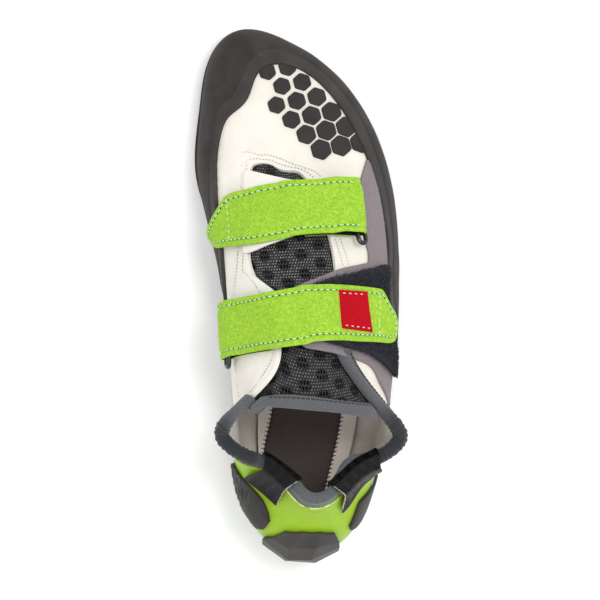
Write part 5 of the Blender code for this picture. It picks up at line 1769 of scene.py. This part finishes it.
def sew(name, line, above, finish, slot, pitch, length, thick, bow=0.00025, shift=0.0):
    """Stitches along a line on a surface, each bowed as a parabola. above is the same line lifted a little,
    which gives the way out, and shift moves the stitches along by a share of their pitch."""
    marks, run = resample(line, pitch)
    along = np.linspace(-0.5, 0.5, 7)
    at = (marks + shift * pitch)[:, None] + along[None, :] * length

    def read(points):
        """The points of a line at each stitch's own marks."""
        return np.stack([np.interp(at, run, points[:, axis]) for axis in range(3)], -1)

    spot, out = read(line), unit(read(above) - read(line))
    height = bow * (1 - (2 * along) ** 2) - 0.3 * thick
    fat = thick / 2 * np.sqrt(np.clip(1.05 - (2 * along) ** 4, 0.05, 1))
    return tubes(name, spot + out * height[None, :, None], out, fat, finish)


def seam_on(name, place, rows, lift, finish, slot, **sizes):
    """A seam through a table of places on the form. Its rows are joined by straight or smooth steps."""
    rows = np.array(rows, float)
    keyed = np.column_stack([np.arange(len(rows)), rows])
    u, v = through(keyed, np.linspace(0, len(rows) - 1, 40 * len(rows))).T
    return sew(name, place(u, v, lift + 0 * u), place(u, v, lift + 0.001 + 0 * u), finish, slot, **sizes)


def strap_seam(tag):
    """The seam round the strap's top: points of its sheet that lie the seam's inset from its edge."""
    _, run, backs, lift, _, _, skewed = straps[tag]
    crosses = run[:, None] + skewed
    top = over(backs, crosses, lift[:, None] + STRAP_WALL / 2 - 0.0001)
    away = lengths_along(top, 1)
    total = away[:, -1]
    tip_run = lengths_along(top, 0)[:, 32]
    inset = np.minimum(SEAM_INSET, total * 0.45)
    rows = (tip_run > SEAM_INSET) & (tip_run < tip_run[-1] - 0.002)

    def line(distance, lift_more):
        """The places that lie a distance in from the strap's front edge."""
        wanted = list(zip(np.flatnonzero(rows), distance[rows]))
        found = np.stack([np.interp(d, away[i], backs[i]) for i, d in wanted])
        across = np.stack([np.interp(d, away[i], crosses[i] + 0 * backs[i]) for i, d in wanted])
        return over(found, across, lift[rows] + STRAP_WALL / 2 - 0.0001 + lift_more)

    front, rear = [line(distance, 0.0) for distance in (inset, total - inset)]
    front_up, rear_up = [line(distance, 0.001) for distance in (inset, total - inset)]
    return np.concatenate([front[::-1], rear]), np.concatenate([front_up[::-1], rear_up])


STRAP_STITCH = dict(pitch=0.0031, thick=0.0006)
for tag in straps:
    line, above = strap_seam(tag)
    sew("strap_" + tag + "_seam", line, above, MINT_THREAD, "lime_suede", length=0.0021, **STRAP_STITCH)
    # short dark tubes between the stitches: painted shade in the needle holes
    sew("strap_" + tag + "_hole_shade", line, above, DARK_THREAD_AND_HOLE_SHADE, "lime_suede", length=0.0009, bow=0.0,
        shift=0.5, **STRAP_STITCH)
CROSS_SEAMS = {"front": (-0.232, (0.128, 0.318)), "rear": (1.318, (0.552, 0.738))}
for tag, (cross, span) in CROSS_SEAMS.items():
    back = np.linspace(*span, 40)
    _, run, _, lift, _, toward, _ = straps[tag]
    level = np.interp(cross, run[::toward], lift[::toward]) + STRAP_WALL / 2
    sew("strap_" + tag + "_cross_seam", over(back, cross, level), over(back, cross, level + 0.001),
        MINT_THREAD, "lime_suede", length=0.0023, **STRAP_STITCH)
print("strap seams done")

# %% [markdown]
# The white leather is sewn with fine grey thread in double rows: round the slit, down beside the
# mesh window, and along the rear quarter. The places are in turn and climb, or back and cross.

# %% Seams in the leather
WALL_SEAMS = {
    "slit_outer": [(0.6575, 0.900), (0.641, 0.922), (0.620, 0.904), (0.598, 0.868)],
    "slit_outer_top": [(0.597, 0.866), (0.570, 0.930), (0.539, 0.964), (0.490, 0.966), (0.436, 0.960),
                       (0.380, 0.956), (0.349, 0.950), (0.337, 0.924), (0.3275, 0.908)],
    "slit_inner": [(0.651, 0.955), (0.632, 0.962), (0.611, 0.935)],
    "slit_inner_top": [(0.610, 0.934), (0.575, 0.968), (0.532, 0.985), (0.470, 0.984), (0.4025, 0.979),
                       (0.350, 0.975), (0.338, 0.968), (0.3256, 0.955)],
}
TOP_SEAMS = {
    "quarter_outer": [(0.348, -0.18), (0.423, -0.27), (0.492, -0.415), (0.549, -0.505)],
    "quarter_inner": [(0.340, -0.062), (0.400, -0.110), (0.440, -0.160), (0.458, -0.120), (0.507, -0.040),
                      (0.540, -0.030)],
    "window_outer": [(0.315, 1.03), (0.369, 1.04), (0.420, 1.055), (0.453, 1.075)],
    "window_outer_second": [(0.312, 1.07), (0.375, 1.09), (0.441, 1.115)],
    "rear_quarter": [(0.777, -0.05), (0.831, -0.075), (0.885, -0.105), (0.945, -0.10)],
    "side_seam": [(0.852, -0.585), (0.903, -0.535), (0.972, -0.335)],
}
FINE = dict(pitch=0.0016, length=0.0011, thick=0.00028, bow=0.00008)
for name, rows in WALL_SEAMS.items():
    seam_on(name, skin, rows, 0.00008, GREY_THREAD, "white_leather", **FINE)
for name, rows in TOP_SEAMS.items():
    seam_on(name, over, rows, 0.00008, GREY_THREAD, "white_leather", **FINE)

TRIM_STITCH = dict(pitch=0.0022, length=0.0020, thick=0.0007)
TRIM_SEAM = [(0.966, TONGUE_TRIM[0] + 0.02), (0.968, 0.45), (0.971, 0.70), (0.973, TONGUE_TRIM[1] - 0.02)]
trim_top = tongue_face + GAP + 2 * BINDING_EASE + BINDING_WALL
seam_on("tongue_binding_seam", over, TRIM_SEAM, trim_top, DARK_THREAD_AND_HOLE_SHADE, "grey_binding", **TRIM_STITCH)
quarter_turns = np.linspace(QUARTER_SPAN[0] + 0.002, QUARTER_SPAN[1] - 0.002, 60)
quarter_face = GAP + BINDING_WALL + 0.0002 + 0 * quarter_turns
quarter_line, quarter_above = [skin(quarter_turns, 0.952, quarter_face + more) for more in (0.0, 0.001)]
sew("quarter_binding_seam", quarter_line, quarter_above, DARK_THREAD_AND_HOLE_SHADE, "grey_binding", **TRIM_STITCH)

for name, back in (("label_seam_front", 0.566), ("label_seam_rear", 0.708)):
    first, last = through(LABEL_ENDS, np.array([back]))[0]
    cross, level = np.linspace(first + 0.02, last - 0.02, 30), STRAP_TOP + 0.0009
    sew(name, over(back, cross, level), over(back, cross, level + 0.001), PALE_THREAD, "red_label",
        pitch=0.0035, length=0.0015, thick=0.0006, bow=0.0001)
print("leather and label seams done")

# %% [markdown]
# Inside the shoe, the lining turns in over the footbed as a thin hem, and a ladder of dark thread
# whips the hem's edge down. Two glossy details finish the heel, and their light clouds are painted
# highlights: a clear rim under the collar's binding, and the melted ends of the pull loops.

# %% Hems, ladder stitches and glossy rims
HEMS = {
    # y, width of the hem on that side
    "outer": [(-0.112, 0.0050), (-0.083, 0.0072), (-0.060, 0.0075), (0.000, 0.0085)],
    "inner": [(-0.112, 0.0012), (-0.083, 0.0014), (-0.056, 0.0062), (0.000, 0.0085)],
}
LADDER_PITCH = 0.0021
UP = np.array([0, 0, 1.0])
board_y, board_left, board_right = plate_edges(BOARD_MARGIN, 400)
part = (board_y > -0.110) & (board_y < -0.002)
hem_y = board_y[part]
for side, label, rim_x in ((1, "outer", board_right[part]), (-1, "inner", board_left[part])):
    width = through(HEMS[label], hem_y)[:, 0]
    share = np.linspace(0, 1, 12)[None, :]
    x = (rim_x - side * width)[:, None] + side * share * (width + 0.0004)[:, None]
    y = hem_y[:, None] + 0 * x
    low = np.stack([x, y, seat(y) + BOARD_THICKNESS + 0.00005], -1)
    rise = 0.0005 * (0.3 + 0.7 * rounded(share * width[:, None], 0.0006))
    shell("lining_hem_" + label, low + UP * rise[..., None], low, LINING)
    edge = np.stack([rim_x - side * width, hem_y, seat(hem_y) + BOARD_THICKNESS + 0.0003], -1)
    marks, run = resample(edge, LADDER_PITCH)
    spots = np.stack([np.interp(marks, run, edge[:, axis]) for axis in range(3)], -1)
    along = np.linspace(-1, 1, 6)
    rungs = spots[:, None] + along[None, :, None] * np.array([side * 0.0013, 0.0003, 0.00012])
    rungs = rungs + (0.0002 * (1 - along**2))[None, :, None] * UP
    tubes("ladder_" + label, rungs, UP, 0.00028, DARK_THREAD_AND_HOLE_SHADE)
    sew("ladder_line_" + label, edge, edge + UP * 0.001, DARK_THREAD_AND_HOLE_SHADE, "brown_footbed",
        pitch=LADDER_PITCH, length=0.0020, thick=0.0004)


def glossy(name, dark, light, roughness):
    """Dark to light in sharp small clouds, whose light ones are painted highlights, under a clear coat."""
    made, net, into, place, _ = start_finish(name, roughness, coat=0.8)
    net.put(into["Base Color"], net.mix(net.range(net.noise(place, 450.0, 3), 0.4, 0.6), dark, light))
    return made


# the rim's near white clouds are painted highlights along the cup's lip
CLEAR_RIM_HIGHLIGHT = glossy("clear_rim_highlight", "#8FA85A", "#E9EFD9", 0.1)
# the ends' light grey clouds are painted highlights on the tapes' cut ends
MELTED_END_HIGHLIGHT = glossy("melted_end_highlight", "#1C1C1E", "#9A9A9E", 0.12)
turns = np.linspace(-0.046, 0.037, 90)
rim_lift = 2 * GAP + CUP_WALL - 0.0003
line, above = [skin(turns, 0.918, rim_lift + raised + 0 * turns) for raised in (0.0, 0.001)]
tubes("cup_rim", line[None], (above - line)[None], 0.0003, CLEAR_RIM_HIGHLIGHT, sides=10)
# each loop end is a glossy tube with painted highlights
for name, end in loop_ends.items():
    tubes(name + "_end", end[None], unit(end - end.mean(0))[None], 0.0004,
          MELTED_END_HIGHLIGHT, sides=8)
print("inside and rims done")

# %% [markdown]
# ## Studio
# The shoe lies on a bright white sweep, seen from nearly straight above with a long lens. Soft light
# comes from above and from the outer side, so the faint shadow falls on the inner side.

# %% Floor, lights and camera
def studio_floor():
    """A white square under the shoe, with a little light of its own so that it burns out as paper does."""
    mesh = fill_mesh("floor", [(-3, -3, 0), (3, -3, 0), (3, 3, 0), (-3, 3, 0)], [[0, 1, 2, 3]])
    finish = bpy.data.materials.new("floor_white")
    finish.use_nodes = True
    shader = finish.node_tree.nodes["Principled BSDF"].inputs
    shader["Base Color"].default_value = (0.95, 0.95, 0.95, 1)
    shader["Emission Color"].default_value = (1, 1, 1, 1)
    shader["Emission Strength"].default_value = 0.12
    shader["Roughness"].default_value = 0.9
    mesh.materials.append(finish)
    floor = bpy.data.objects.new("floor", mesh)
    bpy.context.scene.collection.objects.link(floor)


def soft_light(name, place, size, watts, aim=(0, 0, 0.03)):
    """A round lamp that looks from its place at aim."""
    data = bpy.data.lights.new(name, "AREA")
    data.shape, data.size, data.energy = "DISK", size, watts
    lamp = bpy.data.objects.new(name, data)
    bpy.context.scene.collection.objects.link(lamp)
    lamp.location = place
    toward = Vector(aim) - Vector(place)
    lamp.rotation_euler = toward.to_track_quat("-Z", "Y").to_euler()


def sky(strength):
    """Even white light from all round."""
    world = bpy.data.worlds.new("studio")
    bpy.context.scene.world = world
    world.use_nodes = True
    world.node_tree.nodes["Background"].inputs["Color"].default_value = (1, 1, 1, 1)
    world.node_tree.nodes["Background"].inputs["Strength"].default_value = strength


LEAN_BACK, LEAN_LEFT = math.radians(4), math.radians(3)
CAMERA_DISTANCE = 1.450
TARGET = np.array([-MIDDLE[0] * BALL_WIDTH, -MIDDLE[1] * LENGTH, 0.030])
METRES_PER_PIXEL = 0.0004746
IMAGE = 600
PHOTO_MIDDLE = (300.5, 296.5)


def camera():
    """A long lens that looks down at the target, turned so that the toe points up in the picture."""
    away = unit(np.array([-math.tan(LEAN_LEFT), -math.tan(LEAN_BACK), 1.0]))
    up = unit(np.array([0, 1.0, 0]) - away[1] * away)
    right = np.cross(up, away)
    data = bpy.data.cameras.new("camera")
    data.sensor_width = 36.0
    data.lens = CAMERA_DISTANCE / METRES_PER_PIXEL * data.sensor_width / IMAGE
    data.shift_x = (IMAGE / 2 - PHOTO_MIDDLE[0]) / IMAGE
    data.shift_y = (PHOTO_MIDDLE[1] - IMAGE / 2) / IMAGE
    data.clip_start, data.clip_end = 0.05, 20.0
    eye = bpy.data.objects.new("camera", data)
    bpy.context.scene.collection.objects.link(eye)
    place = TARGET + away * CAMERA_DISTANCE
    rows = np.column_stack([right, up, away, place])
    eye.matrix_world = Matrix([*rows.tolist(), [0, 0, 0, 1]])
    bpy.context.scene.camera = eye


studio_floor()
soft_light("key", (0.5, 0.3, 1.7), 0.8, 13)
soft_light("fill", (-0.2, -0.9, 1.5), 1.2, 6)
sky(0.80)
camera()
bpy.context.scene.view_settings.view_transform = "Standard"
print("studio ready")
